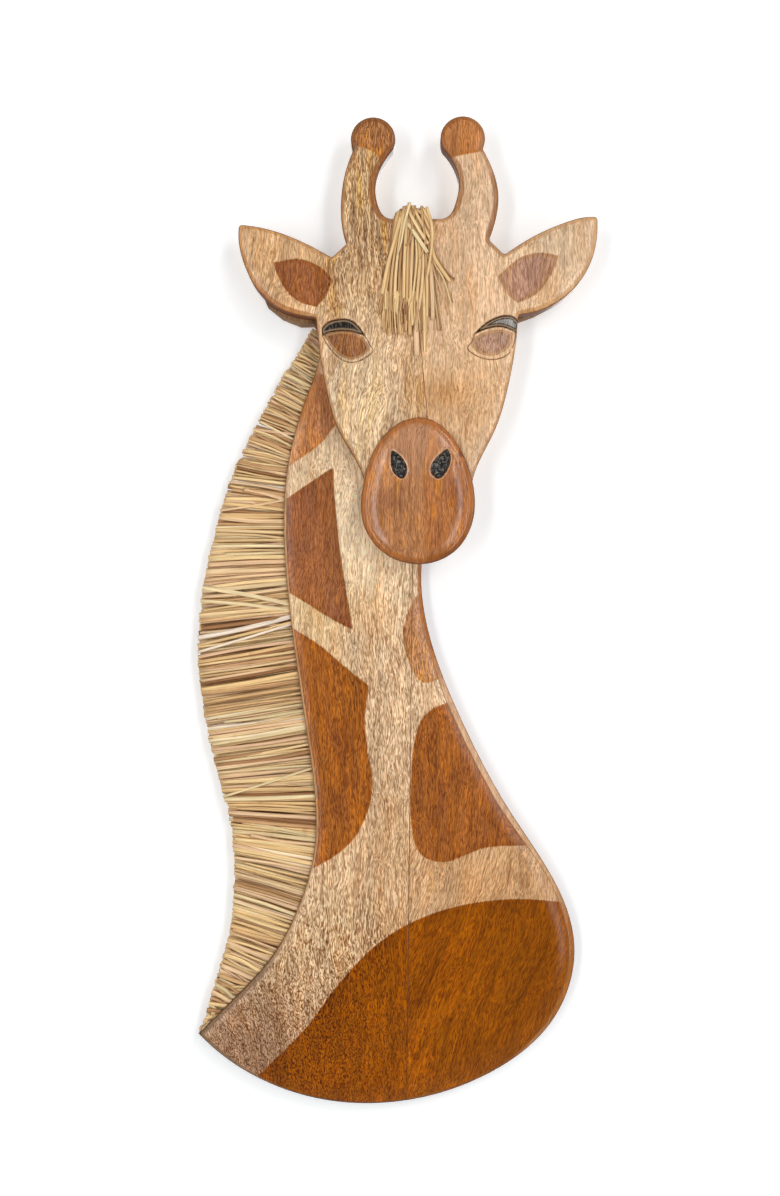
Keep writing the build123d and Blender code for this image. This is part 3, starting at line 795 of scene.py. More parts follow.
def straw_material():
    """Dry cut straw: pale, ribbed along its length, a little shiny."""
    shader = Shader("straw")
    tone = shader.value("tone")
    across = shader.value("across")
    along = shader.value("along")

    def ribbed(stripes, length, shift, detail):
        parts = {0: across * stripes, 1: along * (1 / length), 2: tone * shift}
        return shader.noise(shader.node("CombineXYZ", 0, parts), detail)

    stripes = ribbed(1.6, 40.0, 900.0, 2.0)
    ribs = ribbed(5.0, 14.0, 500.0, 1.0)
    base = shader.ramp(tone, *STRAW_TONES)
    base = base * (shader.swing(stripes, 0.5) * shader.swing(ribs, 0.35)) * STRAW_LIFT
    # Painted shade: each straw's sides are darkened to stand for the shade in the gaps between straws.
    base = shader.tint(shader.step(abs(across), 0.55, 1.0) * 0.7, base, srgb(172, 136, 100))
    blotch = shader.noise(shader.place() * 0.09)
    base = shader.mix(shader.step(blotch, 0.60, 0.8, 0.0, 0.4), base, srgb(172, 124, 76))
    return shader.finish(
        Base_Color=base,
        Roughness=stripes * 0.2 + 0.42,
        Normal=shader.bump(ribs + stripes * 0.6, 0.0002, 0.9),
        Specular_IOR_Level=0.3,
    )


def steel_material():
    """Zinc-plated steel with a faint brushed grain and a few dull spots."""
    shader = Shader("plated_steel")
    place = shader.place()
    brush = shader.noise(place * (0.25, 1.0, 9.0))
    spots = shader.noise(place * 0.5, 3.0)
    return shader.finish(
        Base_Color=shader.ramp(spots, (0.3, srgb(150, 148, 140)), (0.7, srgb(196, 196, 190))),
        Roughness=brush * 0.25 + 0.24,
        Normal=shader.bump(brush, 0.00004, 0.6),
        Metallic=1.0,
    )


def raw_wood_material():
    """Unfinished sawn wood for the batten and the dowels."""
    shader = Shader("raw_wood")
    grain = Grain(shader, 77, wander=5.0)
    base = shader.ramp(grain.tone, (0.3, srgb(150, 110, 76)), (0.7, srgb(188, 150, 110)))
    base = base * (shader.swing(grain.streak, 0.2) * shader.swing(grain.layers, 1.4))
    return shader.finish(
        Base_Color=grain.lined(base, 0.4, 0.4, PALE_LINE),
        Roughness=0.62,
        Normal=shader.bump(grain.hair, 0.00015, 0.8),
        Specular_IOR_Level=0.2,
    )


# --- Build the boards -----------------------------------------------------------------------------

BOARD_SPACING = 1.1
PIT_SPACING = 0.45
SWELL = 0.2
NECK_ROUND = 3.0
HEAD_ROUND = 2.5
MUZZLE_ROUND = 4.5
NECK_SEAM = np.array([(10.0, -422.0), (15.0, 41.0)])
HEAD_SEAM = np.array([(30.0, -94.0), (11.0, 106.0)])
SEAM_REACH = 0.05
FAR = 9.0
WOOD_BALANCE = np.array((0.99, 1.06, 1.12))

# Tone spots: centre, reach, squash across and along, colour
NECK_TONE = srgb(226, 190, 150)
NECK_TONES = (
    # Painted light: this spot lifts the neck just under the head, where the head's shade falls.
    ((-14.0, -76.0), 66.0, (1.2, 0.7), srgb(255, 226, 186)),
    ((-46.0, -128.0), 30.0, (1.0, 1.0), srgb(222, 186, 138)),
    ((4.0, -200.0), 70.0, (1.6, 0.6), srgb(230, 194, 154)),
    ((62.0, -288.0), 80.0, (0.7, 1.2), srgb(210, 162, 114)),
    ((-42.0, -320.0), 62.0, (1.0, 1.0), srgb(230, 196, 154)),
    ((-92.0, -396.0), 76.0, (1.0, 1.0), srgb(178, 140, 110)),
)
HEAD_TONE = srgb(224, 184, 146)
HEAD_TONES = (
    ((-16.0, 122.0), 46.0, (1.0, 0.8), srgb(222, 184, 134)),
    ((-22.0, 72.0), 50.0, (0.9, 1.0), srgb(222, 186, 142)),
    ((-78.0, 82.0), 44.0, (1.0, 1.0), srgb(214, 168, 120)),
    ((-18.0, -5.0), 50.0, (1.0, 0.8), srgb(252, 222, 180)),
    ((54.0, 128.0), 40.0, (1.0, 0.8), srgb(218, 180, 144)),
    ((94.0, 86.0), 44.0, (1.0, 1.0), srgb(224, 190, 154)),
    ((46.0, -2.0), 44.0, (0.8, 1.0), srgb(220, 175, 130)),
    ((34.0, 2.0), 17.0, (0.8, 1.3), srgb(204, 150, 98)),
)

# Edge bands: centre, reach, squash, width in millimetres, strength, colour
NECK_EDGES = (
    ((-50.0, -150.0), 400.0, (1.0, 1.0), 1.5, 0.8, srgb(218, 178, 134)),
    ((-98.0, -364.0), 62.0, (1.0, 1.0), 2.8, 0.85, srgb(142, 112, 84)),
    ((-40.0, -424.0), 60.0, (0.6, 2.0), 1.2, 0.8, srgb(120, 84, 50)),
    ((60.0, -200.0), 110.0, (2.0, 1.0), 3.6, 0.9, srgb(232, 188, 148)),
    # Painted shade: a darker band on the neck's right edge just under the head, where the head's shade
    # falls.
    ((22.0, -126.0), 50.0, (1.0, 1.0), 2.4, 0.9, srgb(178, 108, 48)),
    ((-50.0, 2.0), 26.0, (1.0, 1.0), 5.0, 0.8, srgb(196, 124, 58)),
    ((112.0, -344.0), 60.0, (1.0, 1.0), 3.4, 0.8, srgb(180, 116, 58)),
    ((60.0, -412.0), 50.0, (0.8, 1.4), 1.6, 0.8, srgb(150, 90, 36)),
)
HEAD_EDGES = (
    ((0.0, 0.0), 400.0, (1.0, 1.0), 1.6, 0.7, srgb(206, 154, 104)),
    ((-84.0, 84.0), 50.0, (1.0, 1.0), 2.4, 0.8, srgb(206, 150, 94)),
    # The next two are painted shade on the ears' lower edges, which face away from the light.
    ((-66.0, 54.0), 26.0, (1.0, 1.0), 3.2, 0.9, srgb(184, 122, 68)),
    ((90.0, 52.0), 20.0, (1.0, 1.0), 3.0, 0.9, srgb(196, 138, 76)),
    # Painted shade along the jaw's lower left edge, beside the thin shadow on the neck.
    ((-30.0, -20.0), 40.0, (1.0, 1.0), 1.8, 0.8, srgb(196, 146, 98)),
    ((108.0, 84.0), 46.0, (1.0, 1.0), 2.6, 0.8, srgb(216, 168, 118)),
    # The next five bands darken the horns' rims, partly as painted shade.
    ((-4.0, 128.0), 21.0, (1.0, 0.6), 4.2, 0.95, srgb(160, 100, 50)),
    ((38.0, 124.0), 16.0, (1.0, 0.6), 3.2, 0.8, srgb(178, 124, 76)),
    ((62.0, 112.0), 20.0, (1.0, 0.6), 3.4, 0.9, srgb(164, 108, 56)),
    ((-10.0, 154.0), 20.0, (1.0, 1.0), 3.0, 0.75, srgb(134, 78, 34)),
    ((43.0, 155.0), 20.0, (1.0, 1.0), 2.6, 0.7, srgb(152, 90, 40)),
)


def tone_layer(mesh, base, spots):
    """Stores the pale wood's colour, which drifts over the board, with painted light where a spot is
    marked so.
    """
    places = front_places(mesh)
    colour = np.tile(np.array(base), (len(places), 1))
    for centre, reach, squash, tone in spots:
        share = blob(places, centre, reach, squash)[:, None]
        colour = colour * (1 - share) + np.array(tone) * share
    add_colour(mesh, "wood_colour_and_painted_light", colour * WOOD_BALANCE)


def edge_layer(mesh, edge, bands):
    """Stores the band along the outline, partly wear of the finish and partly painted shade: reach, width,
    strength, colour.
    """
    places = front_places(mesh)
    looks = np.array([(width, strength, *colour) for *_, width, strength, colour in bands])
    look = np.tile(looks[0], (len(places), 1))
    for (centre, reach, squash, *_), change in zip(bands[1:], looks[1:]):
        share = np.clip(1.6 * blob(places, centre, reach, squash), 0, 1)[:, None]
        look = look * (1 - share) + change * share
    add_values(mesh, edge=edge, edge_width=look[:, 0], edge_strength=look[:, 1])
    add_colour(mesh, "edge_colour", look[:, 2:])


def plank_layers(mesh, edge, patches, base, tones, bands, seam, **values):
    """Stores everything that the wood shader reads."""
    stain_layers(mesh, patches)
    tone_layer(mesh, base, tones)
    edge_layer(mesh, edge, bands)
    add_values(mesh, seam=distance_to_line(front_places(mesh), seam), **values)


def swell_front(mesh, seed, edge, round_over, drop, reach):
    """Hand sanding: the flat face rises and falls a little and drops towards the outline.

    It never moves outwards. drop is how far it sinks at the rim, over this reach, both in mm.
    """
    points = mesh_points(mesh)
    share = front_share(mesh)
    inward = np.clip(1 - (edge - round_over) / reach, 0, 1)
    waves = SWELL * (1 + ripple(points[:, 0], points[:, 2], seed, 60.0)).clip(0, 2)
    points[:, 1] += share * (waves + drop * inward**2)
    set_points(mesh, points)
    return share


def lean_shift(heights, start, finish, slope):
    """The sideways shift of grain that starts to lean below a height and reaches a slope."""
    share = np.clip((start - heights) / (start - finish), 0, 1)
    below = np.maximum(finish - heights, 0)
    return slope * (share**2 * (start - finish) / 2 + below)


def on_seam(seam):
    """A test of whether a rim point lies on this seam."""
    return lambda point: distance_to_line(np.array([point]), seam)[0] < SEAM_REACH


def make_neck():
    """The neck and chest planks."""
    for node, seed in (("neck_plank_left", 3), ("neck_plank_right", 9)):
        board, rim = board_copy(node, BOARD_SPACING)
        mesh = board.data
        places = front_places(mesh)
        x, z = places.T
        edge = edge_reach(mesh, rim, on_seam(NECK_SEAM), NECK_ROUND)
        slack = np.clip((x + 20.0) / 40.0, 0, 1)
        swell_front(mesh, 11, edge, NECK_ROUND, 0.5 + 0.7 * slack, 7.0 + 4.0 * slack)
        corner = blob(places, (-70.0, -398.0), 88.0, (0.8, 1.0))
        neck_left = blob(places, (-46.0, -120.0), 40.0, (1.0, 0.5))
        chest = 0.5 * blob(places, (-30.0, -330.0), 60.0)
        chest += 0.3 * blob(places, (0.0, -175.0), 80.0, (1.5, 0.6))
        # Painted light: fewer dark lines on the neck just under the head, where the head's shade falls.
        chest -= 0.26 * blob(places, (-12.0, -80.0), 54.0)
        if node.endswith("right"):
            lean = lean_shift(z, -255.0, -330.0, 0.42)
        else:
            lean = -lean_shift(z, -320.0, -370.0, 0.4) * np.clip((-30.0 - x) / 60, 0, 1)
        plank_layers(
            mesh, edge, NECK_PATCHES, NECK_TONE, NECK_TONES, NECK_EDGES, NECK_SEAM,
            edge_line=np.clip((x - 10.0) / 10.0, 0, 1) * 0.75,
            dusk=np.clip(0.5 * corner + 0.25 * neck_left, 0, 1),
            figure=np.clip(0.30 + 0.7 * corner + chest, 0, 1),
            curl=np.clip(1.2 * corner, 0, 1),
            lean=lean,
        )
        tie(board, node, wood_material("wood_" + node, seed))


CUT_DEPTH = 0.6
CUT_WIDTH = 0.5
PAINT_DEPTH = 0.35
PAINT_SLOPE = 0.8
GROOVE_DEPTH = 0.25


def carve_eyes(mesh, share):
    """Cuts the eye lines and sinks the painted lashes; stores both for the shader."""
    points = mesh_points(mesh)
    places = points[:, [0, 2]]
    lashes = [inside_distance(places, outline) for outline in LASHES.values()]
    lids = [inside_distance(places, HEAD_PATCHES[name][1]) for name in ("lid_left", "lid_right")]
    cuts = [distance_to_line(places, whole_run(line)) for line in EYE_LINES]
    cuts += [np.abs(depth + 0.1) for depth in lashes]
    cuts += [np.abs(depth) + 0.35 for depth in lids]
    cut = np.min(cuts, axis=0).clip(max=FAR)
    paint = np.max(lashes, axis=0).clip(min=-FAR)
    groove = GROOVE_DEPTH * np.exp(-(((paint - 1.0) / 0.4) ** 2))
    lines = CUT_DEPTH * np.exp(-((cut / CUT_WIDTH) ** 2))
    sunk = lines + PAINT_DEPTH * np.clip(paint / PAINT_SLOPE, 0, 1) + groove
    points[:, 1] += share * sunk
    set_points(mesh, points)
    # The right lash's depth also tells the shader where to paint its sheen.
    add_values(mesh, cut=cut, paint=paint, sheen=lashes[1])


def make_head():
    """The head planks, with the eyes carved in."""
    for node, seed in (("head_plank_left", 21), ("head_plank_right", 27)):
        board, rim = board_copy(node, BOARD_SPACING, EYE_ZONES, 0.42)
        mesh = board.data
        edge = edge_reach(mesh, rim, on_seam(HEAD_SEAM), HEAD_ROUND)
        carve_eyes(mesh, swell_front(mesh, 19, edge, HEAD_ROUND, 0.6, 6.0))
        places = front_places(mesh)
        x, z = places.T
        left = float(node.endswith("left"))
        face = left * np.clip((x + 44.0) / 8, 0, 1)
        crown = np.clip((z - 30.0) / 50, 0, 1)
        plank_layers(
            mesh, edge, HEAD_PATCHES, HEAD_TONE, HEAD_TONES, HEAD_EDGES, HEAD_SEAM,
            edge_line=np.zeros(len(x)),
            dusk=np.clip(face * (0.35 + 0.65 * crown) + 0.1 * left, 0, 1),
            figure=np.clip(0.12 + 0.45 * face * (0.4 + 0.6 * crown) + 0.12 * left, 0, 1),
            curl=0.35 * blob(places, (2.0, 22.0), 30.0),
            lean=np.zeros(len(x)),
        )
        tie(board, node, wood_material("wood_" + node, seed, painted=True))


MUZZLE_DROP = 1.5
MUZZLE_SLOPE = 10.0
NOSTRIL_DEPTH = 3.5
NOSTRIL_MIDDLES = np.array([(5.2, -40.2), (29.9, -39.7)])
NOSTRIL_REACH = 11.0
MUZZLE_SPACING = 0.7
PIT_FINE = 0.5
INNER_EDGE = 20.0
PAINT_RISE = 0.7
PAINT_GRAIN = 3.4
PIT_MARGIN = 1.1
PIT_BOWL = 4.0
LIP_DROP = 0.35
LIP_WIDTH = 0.7


def near_nostril(places):
    """Whether a place, or each of several, is in or near a nostril."""
    return np.min([np.hypot(*(places - middle).T) for middle in NOSTRIL_MIDDLES], axis=0) < NOSTRIL_REACH


def make_muzzle():
    """The muzzle plate: domed, with rough black paint inside its carved nostrils."""
    board, rim = board_copy("muzzle_plate", MUZZLE_SPACING, (), PIT_FINE, NOSTRIL_DEPTH)
    mesh = board.data
    points = mesh_points(mesh)
    places = points[:, [0, 2]]
    depth = points[:, 1]
    front = depth.min()
    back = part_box("muzzle_plate")[1].y / MM
    near = near_nostril(places)
    in_pit = near & (depth > front + 0.5) & (depth < back - 1.0)
    edge = edge_reach(mesh, rim, near_nostril, MUZZLE_ROUND)
    edge[in_pit] = INNER_EDGE
    lip = np.full(len(points), FAR)
    for line in rim:
        if near_nostril(line[0]):
            lip[near] = np.minimum(lip[near], distance_to_line(places[near], np.array(line)))
    level = depth < front + SAME_LEVEL
    swell_front(mesh, 23, edge, MUZZLE_ROUND, MUZZLE_DROP, MUZZLE_SLOPE)
    points = mesh_points(mesh)
    rough = 0.5 * (1 + ripple(points[:, 0], points[:, 2], 4, PAINT_GRAIN)).clip(0, 2)
    floor = in_pit & (points[:, 1] > front + NOSTRIL_DEPTH - 0.5)
    bowl = (NOSTRIL_DEPTH - PIT_MARGIN) * (1 - np.clip(lip / PIT_BOWL, 0, 1)) ** 2
    rise = bowl + PAINT_RISE * rough
    points[floor, 1] -= rise[floor]
    points[level, 1] += LIP_DROP * np.exp(-((lip[level] / LIP_WIDTH) ** 2))
    set_points(mesh, points)
    add_values(
        mesh,
        edge=edge,
        crest=blob(places, (16.0, -27.0), 24.0, (0.8, 1.0)),
        shade=blob(places, (34.0, -94.0), 34.0),
        rim=np.where(in_pit, -lip - 0.05, lip),
        paint=np.where(in_pit, 1.0, -1.0),
        bare=np.where(in_pit, np.clip(1 - lip / 1.6, 0, 1), 0),
    )
    tie(board, "muzzle_plate", muzzle_material())


# --- Straw ----------------------------------------------------------------------------------------


class StrawBundle:
    """Collects flat bent straws and makes one mesh of them."""

    SIDES = 8

    def __init__(self):
        self.points = []
        self.faces = []
        self.tone = []
        self.across = []
        self.along = []

    def add(self, path, width, thick, tone, twist=0.0, steps=8, cup=0.25, point=1.0):
        """One straw: an oval section along a smooth path, cut square. point narrows its end."""
        line = whole_run(path, steps)
        ahead = np.gradient(line, axis=0)
        ahead /= np.linalg.norm(ahead, axis=1)[:, None]
        travelled = np.concatenate([[0], np.cumsum(np.linalg.norm(np.diff(line, axis=0), axis=1))])
        corners = range(self.SIDES)
        angles = math.tau * np.array(corners) / self.SIDES
        lifts = thick / 2 * np.sin(angles) + cup * thick * np.cos(angles) ** 2
        start = len(self.points)
        last_side = np.array([1.0, 0.0, 0.0])
        for index, (centre, way) in enumerate(zip(line, ahead)):
            side = np.cross(way, (0.0, 1.0, 0.0))
            if np.linalg.norm(side) < 0.3:
                side = last_side - way * (last_side @ way)
            side /= np.linalg.norm(side)
            if side @ last_side < 0 and index:
                side = -side
            last_side = side
            up = np.cross(side, way)
            turn = twist * index / len(line)
            turned = side * math.cos(turn) + up * math.sin(turn)
            up = up * math.cos(turn) - side * math.sin(turn)
            breadth = width * (1 + (point - 1) * index / (len(line) - 1))
            ring = centre + np.outer(breadth / 2 * np.cos(angles), turned) + np.outer(lifts, up)
            self.points += list(ring)
            self.along += [travelled[index]] * self.SIDES
        self.tone += [tone] * (self.SIDES * len(line))
        self.across += list(np.cos(angles)) * len(line)
        for first in range(start, len(self.points) - self.SIDES, self.SIDES):
            for corner in corners:
                here, there = first + corner, first + (corner + 1) % self.SIDES
                self.faces.append((here, there, there + self.SIDES, here + self.SIDES))
        last = len(self.points) - self.SIDES
        self.faces.append(tuple(start + corner for corner in reversed(corners)))
        self.faces.append(tuple(last + corner for corner in corners))

    def build(self, name, material, node):
        """Makes the object and ties it to the CAD node that it stands for."""
        low, high = cad_box
        places = np.clip(np.array(self.points) * MM, np.array(low), np.array(high))
        piece = new_object(name)
        mesh = piece.data
        mesh.from_pydata(places.tolist(), [], self.faces)
        mesh.update()
        add_values(mesh, tone=self.tone, across=self.across, along=self.along)
        for polygon in mesh.polygons:
            polygon.use_smooth = len(polygon.vertices) == 4
        tie(piece, node, material)


def clump_corners(node):
    """The wedge of a mane clump: high root, high tip, low root, low tip, as (X, Z) in millimetres."""
    points = mesh_points(NODES[node].data)
    level = points[:, 1].min()
    flat = sorted({tuple(np.round(point[[0, 2]], 2)) for point in points if point[1] < level + SAME_LEVEL})
    tips = sorted(flat[:2], key=lambda point: -point[1])
    roots = sorted(flat[-2:], key=lambda point: -point[1])
    return [np.array(point) for point in (roots[0], tips[0], roots[1], tips[1])]


# Straws per layer of a clump are set by the pitch of the layer: dense behind, loose in front
MANE_LAYERS = ((-3.9, 1.5), (-5.4, 1.8), (-7.2, 2.2), (-8.8, 2.8), (-10.0, 4.2))
STRAW_WIDTHS = (1.4, 1.7, 2.0, 2.3, 2.7, 3.1)
BACK_LAYERS = -6.0
KERF_REACH = 5.0
KERF_BACK = -5.6
KERF_FRONT = -9.4
MANE_BACK = -3.4
MANE_FRONT = -11.2
MANE_SEED = 5
SHORT_SHARE = 0.06
TIP_LOW = (-114.2, -380.0)
# Loose straws that lie across the others: height of root and tip, width, tone, how far out they lie
MANE_STRAYS = (
    (-122.0, -112.3, 3.0, 0.88, -11.2),
    (-126.0, -120.6, 3.0, 0.84, -10.8),
    (-127.0, -132.8, 1.6, 0.46, -11.0),
    (-130.5, -142.8, 3.3, 1.0, -10.6),
    (-135.0, -151.5, 1.9, 0.97, -11.2),
    (-134.0, -147.5, 2.2, 0.34, -10.4),
    (-196.0, -205.0, 2.6, 0.9, -11.0),
    (-222.0, -238.5, 1.8, 0.8, -11.2),
    (-262.0, -252.0, 2.0, 0.72, -10.8),
    (-60.0, -66.0, 1.8, 0.55, -11.0),
    (-20.0, -17.0, 1.8, 0.6, -10.8),
)


def mane_straw(bundle, dice, root, tip, level, out_level, width, tone, reach=KERF_REACH):
    """One straw from inside the kerf to the mane's outline."""
    root, tip = np.array(root), np.array(tip)
    way = (tip - root) / np.hypot(*(tip - root))
    start = root - way * reach
    across = np.array([-way[1], way[0]])
    middle = (root + tip) / 2 + across * dice.gauss(0, 0.45)
    kerf = max(min(level, KERF_BACK), KERF_FRONT)
    path = [
        (start[0], kerf, start[1]),
        (root[0] - 1.2, kerf * 0.5 + level * 0.5, root[1]),
        (middle[0], (level + out_level) / 2, middle[1]),
        (tip[0], out_level, tip[1]),
    ]
    bundle.add(path, width, width * dice.uniform(0.34, 0.5), tone, dice.gauss(0, 0.35), steps=3)


def make_mane(material):
    """Every clump as many loose straws, in layers, that fan and cross a little."""
    dice = random.Random(MANE_SEED)
    names = sorted(name for name in NODES if name.startswith("mane_clump_"))
    wedges = [clump_corners(node) for node in names]
    roots = np.array([corners[0] for corners in wedges] + [wedges[-1][2]])[::-1]
    tips = np.array([corners[1] for corners in wedges] + [wedges[-1][3]])[::-1]
    for number, (node, wedge) in enumerate(zip(names, wedges)):
        root_high, tip_high, root_low, tip_low = wedge
        last = node == names[-1]
        if last:
            root_low, tip_low = np.array(TIP_LOW) + (1.0, 0.5), np.array(TIP_LOW)
        bundle = StrawBundle()
        pinch = dice.uniform(-0.12, 0.16)
        mean_tone = dice.uniform(0.34, 0.6)
        breadth = max(np.hypot(*(tip_high - tip_low)), np.hypot(*(root_high - root_low)))
        slim = float(np.interp(root_high[1], (-70.0, 20.0), (1.0, 0.66)))
        for level, pitch in MANE_LAYERS:
            count = round(breadth / (pitch * slim))
            spread = 1.14 if level > BACK_LAYERS else 1 - pinch
            for index in range(count):
                share = (index + dice.uniform(0.1, 0.9)) / count
                root = root_high + (root_low - root_high) * share
                fan = 0.5 + (share - 0.5) * spread + dice.gauss(0, 0.07)
                tip = tip_high + (tip_low - tip_high) * min(max(fan, -0.08), 1.08)
                short = abs(dice.gauss(0, 1.2)) + (dice.random() < SHORT_SHARE) * dice.uniform(3, 12)
                length = np.hypot(*(tip - root))
                tip = tip + (root - tip) * min(short / length, 0.5)
                out_level = min(max(level * 1.12 + dice.gauss(0, 0.7), MANE_FRONT), MANE_BACK)
                tone = min(max(dice.gauss(mean_tone, 0.24), 0.02), 0.98)
                width = dice.choice(STRAW_WIDTHS) * slim
                reach = 1.0 if last else KERF_REACH
                mane_straw(bundle, dice, root, tip, level, out_level, width, tone, reach)
        for root_z, tip_z, width, tone, level in MANE_STRAYS:
            if root_high[1] >= root_z > root_low[1]:
                root = (np.interp(root_z, roots[:, 1], roots[:, 0]), root_z)
                tip = (np.interp(tip_z, tips[:, 1], tips[:, 0]), tip_z)
                mane_straw(bundle, dice, root, tip, level + 0.6, level, width, tone)
        bundle.build(f"mane_straws_{number + 1:02d}", material, node)


# Strands of the forelock that are seen one by one, as (X, Z) points from the crown down, with
# width, tone, how far in front of the head's face they lie, and how narrow the end is (1 if left out)
UNDER_STRANDS = (
    ([(2.8, 107.5), (1.9, 98.0), (-1.0, 76.0), (-6.4, 52.6)], 1.6, 0.30, 1.2, 0.6),
    ([(4.0, 108.5), (1.0, 85.0), (-3.0, 60.0), (-3.4, 38.5)], 3.0, 0.36, 1.4),
    ([(5.0, 108.5), (2.4, 85.0), (0.0, 60.0), (-0.2, 36.6)], 3.2, 0.42, 1.2),
    ([(7.0, 108.5), (5.0, 85.0), (3.2, 60.0), (3.0, 41.5)], 2.6, 0.14, 1.0),
    ([(9.0, 109.0), (7.0, 85.0), (6.0, 60.0), (5.8, 36.8)], 2.4, 0.34, 1.4),
    ([(10.5, 109.0), (9.5, 85.0), (8.6, 60.0), (9.4, 38.8)], 2.4, 0.14, 1.1),
    ([(12.0, 109.0), (11.2, 85.0), (11.4, 60.0), (11.8, 36.4)], 2.8, 0.32, 1.5),
    ([(14.0, 109.0), (14.4, 85.0), (15.2, 60.0), (15.8, 24.4)], 4.0, 0.72, 1.0),
    ([(16.0, 109.0), (16.6, 85.0), (17.8, 60.0), (18.4, 39.0)], 2.4, 0.10, 1.6),
    ([(18.0, 109.0), (19.0, 85.0), (20.0, 60.0), (20.7, 26.6)], 2.0, 0.58, 1.0),
    ([(20.0, 109.0), (21.2, 85.0), (21.8, 66.0), (21.9, 47.0)], 2.2, 0.46, 1.5),
    ([(21.0, 108.5), (23.4, 88.0), (24.8, 66.0), (25.4, 45.8)], 3.0, 0.74, 1.3),
    ([(22.0, 108.5), (24.6, 84.0), (28.4, 60.5), (32.7, 28.3)], 0.9, 0.62, 0.8, 0.7),
)
FRONT_STRANDS = (
    ([(6.4, 106.5), (2.4, 91.0), (-1.4, 77.0), (-4.7, 60.5)], 2.6, 0.46, 3.0),
    ([(8.2, 111.0), (4.8, 97.9), (1.2, 73.6), (0.2, 56.5)], 2.0, 0.30, 2.6),
    ([(8.6, 110.0), (5.6, 92.0), (3.5, 73.6), (2.8, 57.5)], 2.0, 0.58, 2.8),
    ([(9.0, 109.0), (6.8, 90.0), (5.6, 73.0), (4.9, 57.0)], 1.8, 0.20, 2.4),
    ([(10.0, 109.0), (9.1, 92.0), (8.3, 74.0), (8.1, 58.0)], 2.3, 0.46, 3.2),
    ([(11.2, 109.0), (10.7, 93.3), (10.2, 74.0), (10.1, 55.8)], 2.0, 0.34, 2.7),
    ([(12.8, 109.0), (13.3, 92.0), (12.6, 74.0), (12.0, 56.4)], 2.1, 0.46, 3.1),
    ([(14.0, 108.0), (15.6, 88.0), (15.4, 76.0), (13.2, 57.6)], 1.9, 0.58, 2.5),
    ([(15.5, 108.0), (17.6, 84.0), (17.0, 72.0), (15.6, 56.5)], 2.2, 0.40, 3.0),
    ([(16.5, 107.0), (19.4, 84.0), (19.2, 70.0), (17.4, 53.3)], 2.0, 0.62, 2.6),
)
CROSSING_STRANDS = (
    ([(18.9, 112.0), (21.5, 107.0), (24.2, 101.0)], 3.0, 0.60, 2.8),
    ([(15.6, 112.4), (19.6, 106.5), (23.5, 98.5)], 2.1, 0.36, 3.2),
    ([(13.7, 111.4), (18.4, 102.5), (23.5, 93.3)], 2.2, 0.46, 3.8),
    ([(11.7, 108.5), (16.6, 99.0), (22.4, 90.0)], 2.4, 0.58, 4.2),
    ([(10.4, 103.5), (15.6, 94.4), (22.2, 84.8)], 3.2, 0.86, 4.4),
    ([(22.0, 110.5), (24.4, 102.0), (24.8, 90.0), (22.2, 71.6)], 2.1, 0.50, 4.9, 0.9),
    ([(11.4, 112.5), (8.4, 101.2), (6.8, 91.4), (4.6, 83.6)], 3.4, 0.90, 4.6, 0.3),
    ([(23.0, 98.0), (25.5, 84.1), (28.8, 77.6), (35.4, 68.0)], 2.8, 0.44, 3.0),
    ([(23.6, 96.0), (26.6, 84.0), (31.0, 77.0), (38.0, 68.6)], 1.1, 0.10, 2.6, 0.8),
    ([(23.4, 94.0), (26.2, 78.9), (31.4, 69.7), (36.6, 53.6)], 1.5, 0.60, 2.4, 0.8),
    ([(23.0, 92.0), (26.2, 73.6), (30.1, 63.1), (35.3, 48.6)], 1.4, 0.34, 2.0, 0.8),
)
# The top of the fold: X and how high it stands
FOLD_X = (1.0, 4.0, 7.5, 10.7, 14.0, 16.2, 19.3, 23.0, 26.0)
FOLD_TOP = (107.6, 110.6, 114.2, 115.1, 113.6, 112.8, 114.0, 111.9, 108.4)
FOLD_OUTER = 4.9
FOLD_CLEAR = 1.2
TAIL_START = 106.0
TAIL_LENGTH = 17.0
FORELOCK_SEED = 8
STRAND_SLIM = 0.84
# A strand's tone to this power is a little darker
STRAND_DIM = 1.45


def forelock_strand(bundle, dice, strand):
    """A strand that hangs down. If it starts at the crown, it comes from behind the head first."""
    points, width, tone, lift, end = (*strand, 1.0)[:5]
    low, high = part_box("head_plank_left")
    face, back = low.y / MM, high.y / MM
    crown = HEAD_SEAM[1][1]
    top_x, top_z = points[0]
    path = []
    if top_z > TAIL_START:
        behind = back + min(lift, 2.6)
        over = max(np.interp(top_x, FOLD_X, FOLD_TOP) - 0.8 * (FOLD_OUTER - lift), crown + FOLD_CLEAR)
        path += [(top_x, behind, crown - TAIL_LENGTH), (top_x, behind + 0.4, crown - 2.0)]
        path += [(top_x, back * 0.35 + face * 0.65, over)]
        top_z = min(top_z, over - FOLD_CLEAR)
    else:
        top_z -= FOLD_CLEAR
    path += [(top_x, face - lift * 0.75, top_z)]
    path += [(x, face - lift, z) for x, z in points[1:-1]]
    path += [(points[-1][0], face - max(lift * 0.8, 0.9), points[-1][1])]
    width *= STRAND_SLIM
    thick = min(width * 0.45, 1.1)
    bundle.add(path, width, thick, tone**STRAND_DIM, dice.gauss(0, 0.2), steps=5, point=end)


BRISTLES = 76
BRISTLE_LEFT = -3.6
BRISTLE_RIGHT = 17.5
BRISTLE_WIDTHS = (0.9, 1.1, 1.3, 1.6)
BRISTLE_TONES = (0.12, 0.24, 0.36, 0.46, 0.56)


